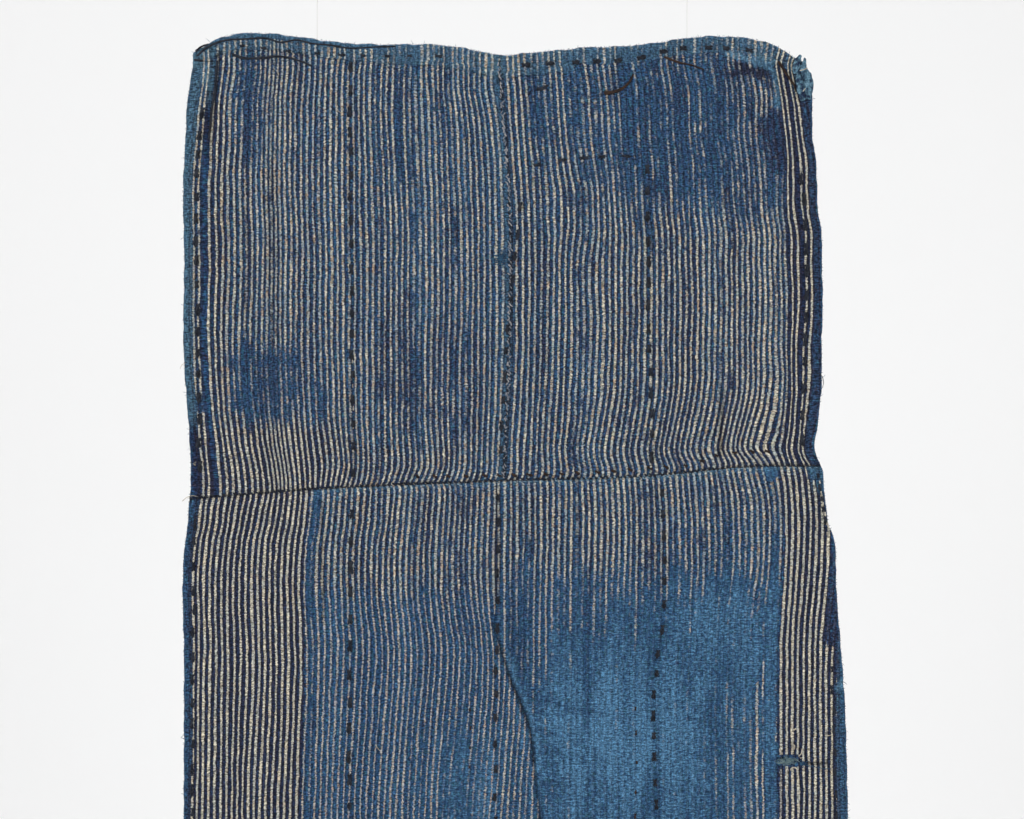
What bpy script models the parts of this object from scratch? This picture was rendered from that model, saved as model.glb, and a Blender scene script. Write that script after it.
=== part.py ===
"""Boro patched cloth, hanging: four striped cotton panels sewn edge to edge, and the two fine
threads that the cloth hangs from.

Run it with blender --background --python part.py, or from Blender's text editor.
Units are metres, with +Z up. The cloth hangs in the XZ plane and its face looks along -Y.
The origin is on the top edge, where the seam between the two upper panels ends.
"""

from collections import namedtuple

import bpy
import numpy as np

# Driving dimensions.
CLOTH = 0.0012  # thickness of one layer of this heavy, worn cotton
HEM_EXTRA = 0.0009  # what the turned layer of a hem adds, on the back
SEAM_EXTRA = 0.0007  # what a seam allowance adds, on the back
GAP = 0.00035  # level clearance between neighbouring pieces
CROSS_GAP = 0.0005  # clearance along the cross seam, where the two facetings differ
SIDE_HEM = 0.013
TOP_HEM = 0.018
FOOT_HEM = 0.018
ALLOWANCE = 0.009
FOOT = -1.080  # height of the bottom hem's edge
COLUMNS = 17  # faces across a panel, between its hem lines
UPPER_ROWS = 17
LOWER_ROWS = 25

THREAD = 0.0006  # diameter of a hanging thread
THREAD_POINT = 0.0020  # distance between the points of a thread's centre line

# Outline. Each row gives a height and how far out the edge is there.
EdgeRow = namedtuple("EdgeRow", "height across")
LEFT_EDGE = [
    EdgeRow(0.003, -0.307),
    EdgeRow(-0.015, -0.308),
    EdgeRow(-0.045, -0.3125),
    EdgeRow(-0.085, -0.3145),
    EdgeRow(-0.125, -0.3165),
    EdgeRow(-0.205, -0.3155),
    EdgeRow(-0.295, -0.3160),
    EdgeRow(-0.325, -0.3145),
    EdgeRow(-0.345, -0.3130),
    EdgeRow(-0.385, -0.3100),
    EdgeRow(-0.435, -0.3090),
    EdgeRow(-0.455, -0.3110),
    EdgeRow(-0.470, -0.3115),
    EdgeRow(-0.485, -0.3140),
    EdgeRow(-0.505, -0.3157),
    EdgeRow(-0.605, -0.3155),
    EdgeRow(-0.705, -0.3160),
    EdgeRow(FOOT, -0.318),
]
RIGHT_EDGE = [
    EdgeRow(-0.009, 0.306),
    EdgeRow(-0.030, 0.3110),
    EdgeRow(-0.085, 0.3130),
    EdgeRow(-0.105, 0.3160),
    EdgeRow(-0.125, 0.3170),
    EdgeRow(-0.160, 0.3187),
    EdgeRow(-0.178, 0.3218),
    EdgeRow(-0.205, 0.3220),
    EdgeRow(-0.245, 0.3230),
    EdgeRow(-0.295, 0.3218),
    EdgeRow(-0.325, 0.3220),
    EdgeRow(-0.375, 0.317),
    EdgeRow(-0.396, 0.3145),
    EdgeRow(-0.412, 0.321),
    EdgeRow(-0.445, 0.3245),
    EdgeRow(-0.472, 0.3290),
    EdgeRow(-0.484, 0.3335),
    EdgeRow(-0.492, 0.3352),
    EdgeRow(-0.510, 0.3355),
    EdgeRow(-0.545, 0.3368),
    EdgeRow(-0.585, 0.3400),
    EdgeRow(-0.645, 0.3445),
    EdgeRow(-0.725, 0.347),
    EdgeRow(FOOT, 0.349),
]
UPPER_SEAM = [
    EdgeRow(0.000, -0.001),
    EdgeRow(-0.165, 0.010),
    EdgeRow(-0.275, 0.010),
    EdgeRow(-0.430, 0.004),
]
LOWER_SEAM = [
    EdgeRow(-0.420, -0.003),
    EdgeRow(-0.540, -0.003),
    EdgeRow(-0.576, -0.005),
    EdgeRow(-0.600, 0.003),
    EdgeRow(-0.625, 0.011),
    EdgeRow(-0.650, 0.0215),
    EdgeRow(-0.675, 0.0300),
    EdgeRow(-0.705, 0.0335),
    EdgeRow(-0.740, 0.0375),
    EdgeRow(-0.770, 0.0415),
    EdgeRow(-0.850, 0.0430),
    EdgeRow(FOOT, 0.0430),
]

# Lines that run across. Each row gives a place across the cloth and the line's height there.
LineRow = namedtuple("LineRow", "across height")
TOP_EDGE = [
    LineRow(-0.307, 0.003),
    LineRow(-0.296, 0.0090),
    LineRow(-0.285, 0.0155),
    LineRow(-0.262, 0.0215),
    LineRow(-0.240, 0.0220),
    LineRow(-0.200, 0.0180),
    LineRow(-0.165, 0.0130),
    LineRow(-0.120, 0.0105),
    LineRow(-0.055, 0.0095),
    LineRow(-0.025, 0.0050),
    LineRow(-0.004, 0.0005),
    LineRow(0.035, 0.0030),
    LineRow(0.060, 0.0050),
    LineRow(0.080, 0.0075),
    LineRow(0.115, 0.0085),
    LineRow(0.150, 0.0115),
    LineRow(0.178, 0.0155),
    LineRow(0.205, 0.0185),
    LineRow(0.235, 0.0180),
    LineRow(0.262, 0.0140),
    LineRow(0.280, 0.0070),
    LineRow(0.293, -0.0010),
    LineRow(0.306, -0.009),
]
CROSS_SEAM = [
    LineRow(-0.312, -0.444),
    LineRow(-0.181, -0.434),
    LineRow(-0.004, -0.426),
    LineRow(0.166, -0.420),
    LineRow(0.241, -0.412),
    LineRow(0.320, -0.411),
]
FOOT_EDGE = [
    LineRow(-0.320, FOOT + 0.004),
    LineRow(-0.180, FOOT),
    LineRow(0.020, FOOT + 0.003),
    LineRow(0.200, FOOT - 0.002),
    LineRow(0.350, FOOT + 0.003),
]

# Broad waves of the hanging cloth: how deep, how far from crest to crest across and down,
# how far the crests lean, and where they start.
Wave = namedtuple("Wave", "depth across down lean start")
WAVES = [
    Wave(0.0040, 0.310, 1.700, 0.00, 0.55),
    Wave(0.0022, 0.135, 1.100, 0.10, 2.10),
    Wave(0.0013, 0.071, 0.620, -0.15, 0.90),
]

# Creases: a soft ridge (rise over 0) or trough (rise under 0) from its head to its foot.
Crease = namedtuple("Crease", "name head foot width rise")
CREASES = [
    Crease("beside_left_hem", (-0.286, 0.012), (-0.292, -0.100), 0.007, -0.0032),
    Crease("left_pinch", (-0.243, -0.085), (-0.240, -0.290), 0.008, 0.0038),
    Crease("left_pinch_hollow", (-0.229, -0.085), (-0.226, -0.290), 0.008, -0.0022),
    Crease("right_corner_ridge", (0.236, 0.004), (0.284, -0.062), 0.009, 0.0040),
    Crease("right_corner_hollow", (0.222, -0.012), (0.268, -0.085), 0.010, -0.0026),
    Crease("above_cross_seam", (0.221, -0.335), (0.219, -0.404), 0.007, -0.0030),
    Crease("right_edge_turn", (0.313, -0.395), (0.333, -0.492), 0.009, 0.0042),
    Crease("centre_drag_upper", (-0.006, -0.560), (0.010, -0.625), 0.009, 0.0046),
    Crease("centre_drag_lower", (0.010, -0.625), (0.034, -0.712), 0.010, 0.0050),
    Crease("centre_drag_hollow", (0.020, -0.590), (0.046, -0.700), 0.012, -0.0026),
    Crease("left_foot_drag", (-0.150, -0.860), (-0.185, -1.010), 0.016, 0.0045),
    Crease("right_foot_drag", (0.170, -0.800), (0.215, -1.000), 0.018, 0.0050),
]

# Seams and hems draw the cloth in: the rise of the cloth each side of a seam, and its reach.
SEAM_RISE = 0.0018
SEAM_REACH = 0.016

Panel = namedtuple("Panel", "name left right top foot hems rows colour")
PANELS = [
    Panel("panel_upper_left", LEFT_EDGE, UPPER_SEAM, TOP_EDGE, CROSS_SEAM,
          "left top", UPPER_ROWS, (0.060, 0.115, 0.215)),
    Panel("panel_upper_right", UPPER_SEAM, RIGHT_EDGE, TOP_EDGE, CROSS_SEAM,
          "right top", UPPER_ROWS, (0.055, 0.125, 0.240)),
    Panel("panel_lower_left", LEFT_EDGE, LOWER_SEAM, CROSS_SEAM, FOOT_EDGE,
          "left foot", LOWER_ROWS, (0.050, 0.100, 0.190)),
    Panel("panel_lower_right", LOWER_SEAM, RIGHT_EDGE, CROSS_SEAM, FOOT_EDGE,
          "right foot", LOWER_ROWS, (0.060, 0.160, 0.300)),
]

# A hanging thread: up behind the hem, and round a small loop. Each point is given from the
# place where the thread leaves the top edge: across, away from the cloth's back, and up.
ThreadPoint = namedtuple("ThreadPoint", "across back up")
THREAD_ROUTE = [
    ThreadPoint(0.0000, 0.0000, -0.0120),
    ThreadPoint(0.0000, 0.0000, -0.0060),
    ThreadPoint(0.0000, 0.0000, 0.0000),
    ThreadPoint(0.0000, 0.0000, 0.0100),
    ThreadPoint(0.0000, 0.0000, 0.0220),
    ThreadPoint(0.0000, 0.0000, 0.0340),
    ThreadPoint(0.0000, 0.0000, 0.0430),
    ThreadPoint(-0.0012, 0.0000, 0.0490),
    ThreadPoint(-0.0036, 0.0000, 0.0545),
    ThreadPoint(-0.0042, 0.0000, 0.0605),
    ThreadPoint(0.0000, 0.0000, 0.0645),
    ThreadPoint(0.0042, 0.0000, 0.0605),
    ThreadPoint(0.0038, 0.0000, 0.0545),
    ThreadPoint(0.0022, 0.0002, 0.0490),
    ThreadPoint(0.0012, 0.0004, 0.0430),
]
THREAD_PLACES = {"hang_thread_left": -0.183, "hang_thread_right": 0.187}
THREAD_CLEAR = 0.0004  # between the thread's side and the back of the cloth


def smooth_through(table, place):
    """Values at place of the smooth curve through a table of (place, value) rows."""
    rows = np.array(sorted(tuple(row) for row in table))
    at, value = rows[:, 0], rows[:, 1]
    slope = np.gradient(value, at) if len(at) > 2 else np.diff(value)[[0, 0]] / np.diff(at)
    place = np.clip(place, at[0], at[-1])
    step = np.clip(np.searchsorted(at, place, side="right") - 1, 0, len(at) - 2)
    length = at[step + 1] - at[step]
    t = (place - at[step]) / length
    rise = value[step + 1] - value[step]
    first = slope[step] * length
    last = slope[step + 1] * length
    bend = (first + last - 2 * rise) * t**3 + (3 * rise - 2 * first - last) * t**2
    return value[step] + first * t + bend


def soft_step(distance, start, end):
    t = np.clip((distance - start) / (end - start), 0, 1)
    return t * t * (3 - 2 * t)


def crease_rise(crease, across, height):
    """A crease's cross-section is a bell, and it dies away towards both ends."""
    head = np.array(crease.head)
    run = np.array(crease.foot) - head
    length = np.hypot(*run)
    ahead = ((across - head[0]) * run[0] + (height - head[1]) * run[1]) / length**2
    aside = ((across - head[0]) * run[1] - (height - head[1]) * run[0]) / length
    beyond = np.maximum(np.maximum(-ahead, ahead - 1), 0) * length
    fade = soft_step(ahead, -0.05, 0.30) * (1 - soft_step(ahead, 0.70, 1.05))
    bell = np.exp(-((aside / crease.width) ** 2) - (beyond / crease.width) ** 2)
    return crease.rise * bell * (0.25 + 0.75 * fade)


def seam_rise(across, height):
    """The cloth stands a little proud along each side of the seams, and sinks into them."""
    centre = np.where(
        height > smooth_through(CROSS_SEAM, across),
        smooth_through([(row.height, row.across) for row in UPPER_SEAM], height),
        smooth_through([(row.height, row.across) for row in LOWER_SEAM], height),
    )
    rise = np.zeros_like(across)
    for distance in (across - centre, height - smooth_through(CROSS_SEAM, across)):
        reach = np.abs(distance) / SEAM_REACH
        rise = rise + SEAM_RISE * (2.2 * reach * np.exp(1 - 2.2 * reach) - 0.5) * (reach < 2.5)
    return rise


def face_depth(across, height):
    """How far behind the XZ plane the cloth's face is at a place."""
    depth = np.zeros_like(across)
    for wave in WAVES:
        turn = across / wave.across + height / wave.down + wave.lean * np.sin(9 * height)
        depth = depth + wave.depth * np.sin(2 * np.pi * turn + wave.start)
    held = 0.35 + 0.65 * soft_step(-height, -0.02, 0.22)
    depth = depth * held
    for crease in CREASES:
        depth = depth - crease_rise(crease, across, height)
    return depth - seam_rise(across, height)


def edge_place(table, height):
    return smooth_through([(row.height, row.across) for row in table], height)


def spaced(start_hem, end_hem, total, faces):
    """Fractions 0 to 1 with a pair of close lines at each hem or allowance."""
    first = [0, (start_hem - 0.001) / total, (start_hem + 0.003) / total]
    last = [1 - (end_hem + 0.003) / total, 1 - (end_hem - 0.001) / total, 1]
    between = np.linspace(first[-1], last[0], faces - 3)
    return np.concatenate([first[:2], between, last[1:]])


def panel_grid(panel):
    """Face points of a panel, as arrays across and height, a row for each line across."""
    left_hem = SIDE_HEM if "left" in panel.hems else ALLOWANCE
    right_hem = SIDE_HEM if "right" in panel.hems else ALLOWANCE
    top_hem = TOP_HEM if "top" in panel.hems else ALLOWANCE
    foot_hem = FOOT_HEM if "foot" in panel.hems else ALLOWANCE
    tall = panel.top[0].height - panel.foot[0].height
    over = spaced(left_hem, right_hem, 0.32, COLUMNS)
    down = spaced(top_hem, foot_hem, tall, panel.rows)
    over, down = np.meshgrid(over, down)
    left_gap = 0 if "left" in panel.hems else GAP / 2
    right_gap = 0 if "right" in panel.hems else GAP / 2
    top_gap = 0 if "top" in panel.hems else CROSS_GAP / 2
    foot_gap = 0 if "foot" in panel.hems else CROSS_GAP / 2
    height = panel.top[0].height - down * tall
    for _ in range(4):  # the outline and the height settle on each other in a few turns
        left = edge_place(panel.left, height) + left_gap
        right = edge_place(panel.right, height) - right_gap
        across = left + over * (right - left)
        top = smooth_through(panel.top, across) - top_gap
        foot = smooth_through(panel.foot, across) + foot_gap
        height = top + down * (foot - top)
    edges = {
        "left": (across - left, left_hem),
        "right": (right - across, right_hem),
        "top": (top - height, top_hem),
        "foot": (height - foot, foot_hem),
    }
    thick = np.full_like(across, CLOTH)
    for side, (distance, hem) in edges.items():
        extra = HEM_EXTRA if side in panel.hems else SEAM_EXTRA
        thick = np.maximum(thick, CLOTH + extra * (1 - soft_step(distance, hem - 0.001, hem + 0.002)))
    return across, height, thick


def add_material(obj, colour, roughness):
    material = bpy.data.materials.new(obj.name)
    material.use_nodes = True
    shader = material.node_tree.nodes["Principled BSDF"]
    shader.inputs["Base Color"].default_value = (*colour, 1)
    shader.inputs["Roughness"].default_value = roughness
    shader.inputs["Metallic"].default_value = 0
    obj.data.materials.append(material)


def add_panel(panel):
    """A closed sheet: the face, the back behind it, and a wall round the outline."""
    across, height, thick = panel_grid(panel)
    depth = face_depth(across, height)
    rows, columns = across.shape
    face = np.stack([across, depth, height], axis=-1).reshape(-1, 3)
    back = np.stack([across, depth + thick, height], axis=-1).reshape(-1, 3)
    index = np.arange(rows * columns).reshape(rows, columns)
    quads = []
    for row in range(rows - 1):
        for column in range(columns - 1):
            corners = [
                index[row, column],
                index[row + 1, column],
                index[row + 1, column + 1],
                index[row, column + 1],
            ]
            quads.append(corners)
            quads.append([len(face) + corner for corner in reversed(corners)])
    rim = [*index[0, :-1], *index[:-1, -1], *index[-1, :0:-1], *index[:0:-1, 0]]
    for here, there in zip(rim, rim[1:] + rim[:1]):
        quads.append([here, there, len(face) + there, len(face) + here])
    mesh = bpy.data.meshes.new(panel.name)
    mesh.from_pydata(np.concatenate([face, back]).tolist(), [], quads)
    mesh.validate()
    obj = bpy.data.objects.new(panel.name, mesh)
    bpy.context.scene.collection.objects.link(obj)
    mesh.shade_smooth()
    add_material(obj, panel.colour, 0.92)
    return obj


def thread_line(across):
    """Evenly spaced points on the smooth curve through a thread's route."""
    leaves = smooth_through(TOP_EDGE, np.array([across]))[0]
    hem_back = face_depth(np.array([across]), np.array([leaves - 0.006]))[0] + CLOTH + HEM_EXTRA
    behind = hem_back + THREAD_CLEAR + THREAD / 2
    route = np.array([
        (across + point.across, behind + point.back, leaves + point.up) for point in THREAD_ROUTE
    ])
    so_far = np.concatenate([[0], np.cumsum(np.linalg.norm(np.diff(route, axis=0), axis=1))])
    fine = np.linspace(0, so_far[-1], 600)
    curve = np.stack(
        [smooth_through(list(zip(so_far, route[:, axis])), fine) for axis in range(3)], axis=-1
    )
    run = np.concatenate([[0], np.cumsum(np.linalg.norm(np.diff(curve, axis=0), axis=1))])
    even = np.linspace(0, run[-1], round(run[-1] / THREAD_POINT) + 1)
    return np.stack([np.interp(even, run, curve[:, axis]) for axis in range(3)], axis=-1)


def add_thread(name, across):
    points = thread_line(across)
    curve = bpy.data.curves.new(name, "CURVE")
    curve.dimensions = "3D"
    curve.bevel_depth = THREAD / 2
    curve.bevel_resolution = 2
    curve.use_fill_caps = True
    spline = curve.splines.new("POLY")
    spline.points.add(len(points) - 1)
    for point, place in zip(spline.points, points):
        point.co = (*place, 1)
    obj = bpy.data.objects.new(name, curve)
    bpy.context.scene.collection.objects.link(obj)
    add_material(obj, (0.80, 0.80, 0.78), 0.35)
    return obj


def main():
    for obj in list(bpy.data.objects):
        bpy.data.objects.remove(obj, do_unlink=True)
    for panel in PANELS:
        add_panel(panel)
    for name, across in THREAD_PLACES.items():
        add_thread(name, across)


main()
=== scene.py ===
"""The looks of the boro patched cloth: worn striped cotton panels, their seams, mending stitches,
loose threads and the two fine threads that the cloth hangs from, on a plain pale stage.

Lengths are metres, in the CAD model's frame: +X to the right, +Z up, the cloth's face towards -Y.
"""

import math
import random
from collections import namedtuple

import bpy
import numpy as np
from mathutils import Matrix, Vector


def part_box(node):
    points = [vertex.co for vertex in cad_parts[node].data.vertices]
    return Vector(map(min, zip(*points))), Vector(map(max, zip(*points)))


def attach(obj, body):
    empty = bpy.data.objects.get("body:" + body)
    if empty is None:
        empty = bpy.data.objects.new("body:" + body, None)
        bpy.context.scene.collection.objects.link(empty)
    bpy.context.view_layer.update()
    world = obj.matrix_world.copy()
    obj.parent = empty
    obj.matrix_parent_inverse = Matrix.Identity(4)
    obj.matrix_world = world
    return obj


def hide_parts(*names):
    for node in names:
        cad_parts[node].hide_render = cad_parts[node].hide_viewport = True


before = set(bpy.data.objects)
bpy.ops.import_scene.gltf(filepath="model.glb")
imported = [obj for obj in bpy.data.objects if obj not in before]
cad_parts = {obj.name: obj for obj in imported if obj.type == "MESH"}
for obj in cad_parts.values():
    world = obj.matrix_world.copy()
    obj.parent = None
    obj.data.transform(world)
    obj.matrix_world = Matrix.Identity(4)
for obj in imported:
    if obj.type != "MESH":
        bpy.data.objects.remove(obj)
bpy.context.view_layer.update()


# ---------------------------------------------------------------------------------------------
# Sizes. The outline, waves and creases are the CAD solids' own.

CLOTH = 0.0012
HEM_EXTRA = 0.0009
SEAM_EXTRA = 0.0007
SIDE_HEM = 0.013
TOP_HEM = 0.018
FOOT_HEM = 0.018
ALLOWANCE = 0.009
FOOT = round(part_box("panel_lower_right")[0][2], 3) + 0.002
SEAM_LAP = 0.0005  # how far each panel reaches past the middle of a seam
PITCH = 0.0059  # one stripe and the ground beside it


def listed(columns, *rows):
    """A table: rows whose columns have names."""
    return [columns(*row) for row in rows]


EdgeRow = namedtuple("EdgeRow", "height across")
LEFT_EDGE = listed(EdgeRow,
    (0.003, -0.307), (-0.015, -0.308), (-0.045, -0.3125), (-0.085, -0.3145), (-0.125, -0.3165),
    (-0.205, -0.3155), (-0.295, -0.316), (-0.325, -0.3145), (-0.345, -0.313), (-0.385, -0.31),
    (-0.435, -0.309), (-0.455, -0.311), (-0.47, -0.3115), (-0.485, -0.314), (-0.505, -0.3157),
    (-0.605, -0.3155), (-0.705, -0.316), (FOOT, -0.318))
RIGHT_EDGE = listed(EdgeRow,
    (-0.009, 0.306), (-0.03, 0.311), (-0.085, 0.313), (-0.105, 0.316), (-0.125, 0.317),
    (-0.16, 0.3187), (-0.178, 0.3218), (-0.205, 0.322), (-0.245, 0.323), (-0.295, 0.3218),
    (-0.325, 0.322), (-0.375, 0.317), (-0.396, 0.3145), (-0.412, 0.321), (-0.445, 0.3245),
    (-0.472, 0.329), (-0.484, 0.3335), (-0.492, 0.3352), (-0.51, 0.3355), (-0.545, 0.3368),
    (-0.585, 0.34), (-0.645, 0.3445), (-0.725, 0.347), (FOOT, 0.349))
UPPER_SEAM = listed(EdgeRow,
    (0.0, -0.001), (-0.165, 0.01), (-0.275, 0.01), (-0.43, 0.004))
LOWER_SEAM = listed(EdgeRow,
    (-0.42, -0.003), (-0.54, -0.003), (-0.576, -0.005), (-0.6, 0.003), (-0.625, 0.011),
    (-0.65, 0.0215), (-0.675, 0.03), (-0.705, 0.0335), (-0.74, 0.0375), (-0.77, 0.0415),
    (-0.85, 0.043), (FOOT, 0.043))
# The lower panels' stripes are measured from this straight line, and the seam turns aside from it.
LOWER_RUN = listed(EdgeRow,
    (-0.42, -0.003), (FOOT, -0.003))

LineRow = namedtuple("LineRow", "across height")
TOP_EDGE = listed(LineRow,
    (-0.307, 0.003), (-0.296, 0.009), (-0.285, 0.0155), (-0.262, 0.0215), (-0.24, 0.022),
    (-0.2, 0.018), (-0.165, 0.013), (-0.12, 0.0105), (-0.055, 0.0095), (-0.025, 0.005),
    (-0.004, 0.0005), (0.035, 0.003), (0.06, 0.005), (0.08, 0.0075), (0.115, 0.0085),
    (0.15, 0.0115), (0.178, 0.0155), (0.205, 0.0185), (0.235, 0.018), (0.262, 0.014),
    (0.28, 0.007), (0.293, -0.001), (0.306, -0.009))
CROSS_SEAM = listed(LineRow,
    (-0.312, -0.444), (-0.181, -0.434), (-0.004, -0.426), (0.166, -0.42), (0.241, -0.412),
    (0.32, -0.411))
FOOT_EDGE = listed(LineRow,
    (-0.32, FOOT + 0.004), (-0.18, FOOT), (0.02, FOOT + 0.003), (0.2, FOOT - 0.002),
    (0.35, FOOT + 0.003))

Wave = namedtuple("Wave", "depth across down lean start")
WAVES = listed(Wave,
    (0.004, 0.31, 1.7, 0.0, 0.55), (0.0022, 0.135, 1.1, 0.1, 2.1),
    (0.0013, 0.071, 0.62, -0.15, 0.9))

Crease = namedtuple("Crease", "name head foot width rise")
CREASES = listed(Crease,
    ("beside_left_hem", (-0.286, 0.012), (-0.292, -0.1), 0.007, -0.0032),
    ("left_pinch", (-0.243, -0.085), (-0.24, -0.29), 0.008, 0.0038),
    ("left_pinch_hollow", (-0.229, -0.085), (-0.226, -0.29), 0.008, -0.0022),
    ("right_corner_ridge", (0.236, 0.004), (0.284, -0.062), 0.009, 0.004),
    ("right_corner_hollow", (0.222, -0.012), (0.268, -0.085), 0.01, -0.0026),
    ("above_cross_seam", (0.221, -0.335), (0.219, -0.404), 0.007, -0.003),
    ("right_edge_turn", (0.313, -0.395), (0.333, -0.492), 0.009, 0.0042),
    ("centre_drag_upper", (-0.006, -0.56), (0.01, -0.625), 0.009, 0.0046),
    ("centre_drag_lower", (0.01, -0.625), (0.034, -0.712), 0.01, 0.005),
    ("centre_drag_hollow", (0.02, -0.59), (0.046, -0.7), 0.012, -0.0026),
    ("left_foot_drag", (-0.15, -0.86), (-0.185, -1.01), 0.016, 0.0045),
    ("right_foot_drag", (0.17, -0.8), (0.215, -1.0), 0.018, 0.005))
SEAM_RISE = 0.0018
SEAM_REACH = 0.016

# The hanging threads' route, from where each leaves the top edge.
ThreadPoint = namedtuple("ThreadPoint", "across back up")
THREAD = 0.0006
THREAD_CLEAR = 0.0004
THREAD_ROUTE = listed(ThreadPoint,
    (0.0, 0.0, -0.012), (0.0, 0.0, -0.006), (0.0, 0.0, 0.0), (0.0, 0.0, 0.01), (0.0, 0.0, 0.022),
    (0.0, 0.0, 0.034), (0.0, 0.0, 0.043), (-0.0012, 0.0, 0.049), (-0.0036, 0.0, 0.0545),
    (-0.0042, 0.0, 0.0605), (0.0, 0.0, 0.0645), (0.0042, 0.0, 0.0605), (0.0038, 0.0, 0.0545),
    (0.0022, 0.0002, 0.049), (0.0012, 0.0004, 0.043))
TWIST = 5200  # how closely the thread's twist repeats, in radians a metre
THREAD_PLACES = {"hang_thread_left": -0.183, "hang_thread_right": 0.187}


# ---------------------------------------------------------------------------------------------
# The cloth's shape.


def smooth_through(table, place):
    """Values at place of the smooth curve through a table of (place, value) rows."""
    rows = np.array(sorted(tuple(row) for row in table))
    at, value = rows[:, 0], rows[:, 1]
    slope = np.gradient(value, at) if len(at) > 2 else np.diff(value)[[0, 0]] / np.diff(at)
    place = np.clip(place, at[0], at[-1])
    step = np.clip(np.searchsorted(at, place, side="right") - 1, 0, len(at) - 2)
    length = at[step + 1] - at[step]
    t = (place - at[step]) / length
    rise = value[step + 1] - value[step]
    first = slope[step] * length
    last = slope[step + 1] * length
    bend = (first + last - 2 * rise) * t**3 + (3 * rise - 2 * first - last) * t**2
    return value[step] + first * t + bend


def edge_place(table, height):
    return smooth_through([(row.height, row.across) for row in table], height)


def soft_step(distance, start, end):
    t = np.clip((distance - start) / (end - start), 0, 1)
    return t * t * (3 - 2 * t)


def bell(distance, width):
    return np.exp(-((distance / width) ** 2))


def ripple(place, longest, seed):
    """An uneven wave between about -1 and 1, with bumps of up to the given length."""
    total = np.zeros_like(place)
    for octave in range(4):
        turn = place / (longest * 0.61**octave) + math.sin(seed * 12.9 + octave * 4.7) * 9
        total = total + 0.62**octave * np.sin(2 * np.pi * turn)
    return total / 1.8


def crease_rise(crease, across, height):
    """A crease's cross-section is a bell, and it dies away towards both ends."""
    head = np.array(crease.head)
    run = np.array(crease.foot) - head
    length = np.hypot(*run)
    ahead = ((across - head[0]) * run[0] + (height - head[1]) * run[1]) / length**2
    aside = ((across - head[0]) * run[1] - (height - head[1]) * run[0]) / length
    beyond = np.maximum(np.maximum(-ahead, ahead - 1), 0) * length
    fade = soft_step(ahead, -0.05, 0.30) * (1 - soft_step(ahead, 0.70, 1.05))
    profile = np.exp(-((aside / crease.width) ** 2) - (beyond / crease.width) ** 2)
    return crease.rise * profile * (0.25 + 0.75 * fade)


def centre_seam(across, height):
    """Where the seam between left and right panels is, at each height."""
    above = height > smooth_through(CROSS_SEAM, across)
    return np.where(above, edge_place(UPPER_SEAM, height), edge_place(LOWER_SEAM, height))


def seam_rise(across, height):
    """The cloth stands a little proud along each side of the seams, and sinks into them."""
    rise = np.zeros_like(across)
    for distance in (
        across - centre_seam(across, height),
        height - smooth_through(CROSS_SEAM, across),
    ):
        reach = np.abs(distance) / SEAM_REACH
        rise = rise + SEAM_RISE * (2.2 * reach * np.exp(1 - 2.2 * reach) - 0.5) * (reach < 2.5)
    return rise


def solid_depth(across, height):
    """How far behind the XZ plane the CAD solids' face is."""
    depth = np.zeros_like(across)
    for wave in WAVES:
        turn = across / wave.across + height / wave.down + wave.lean * np.sin(9 * height)
        depth = depth + wave.depth * np.sin(2 * np.pi * turn + wave.start)
    depth = depth * (0.35 + 0.65 * soft_step(-height, -0.02, 0.22))
    for crease in CREASES:
        depth = depth - crease_rise(crease, across, height)
    return depth - seam_rise(across, height)


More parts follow.
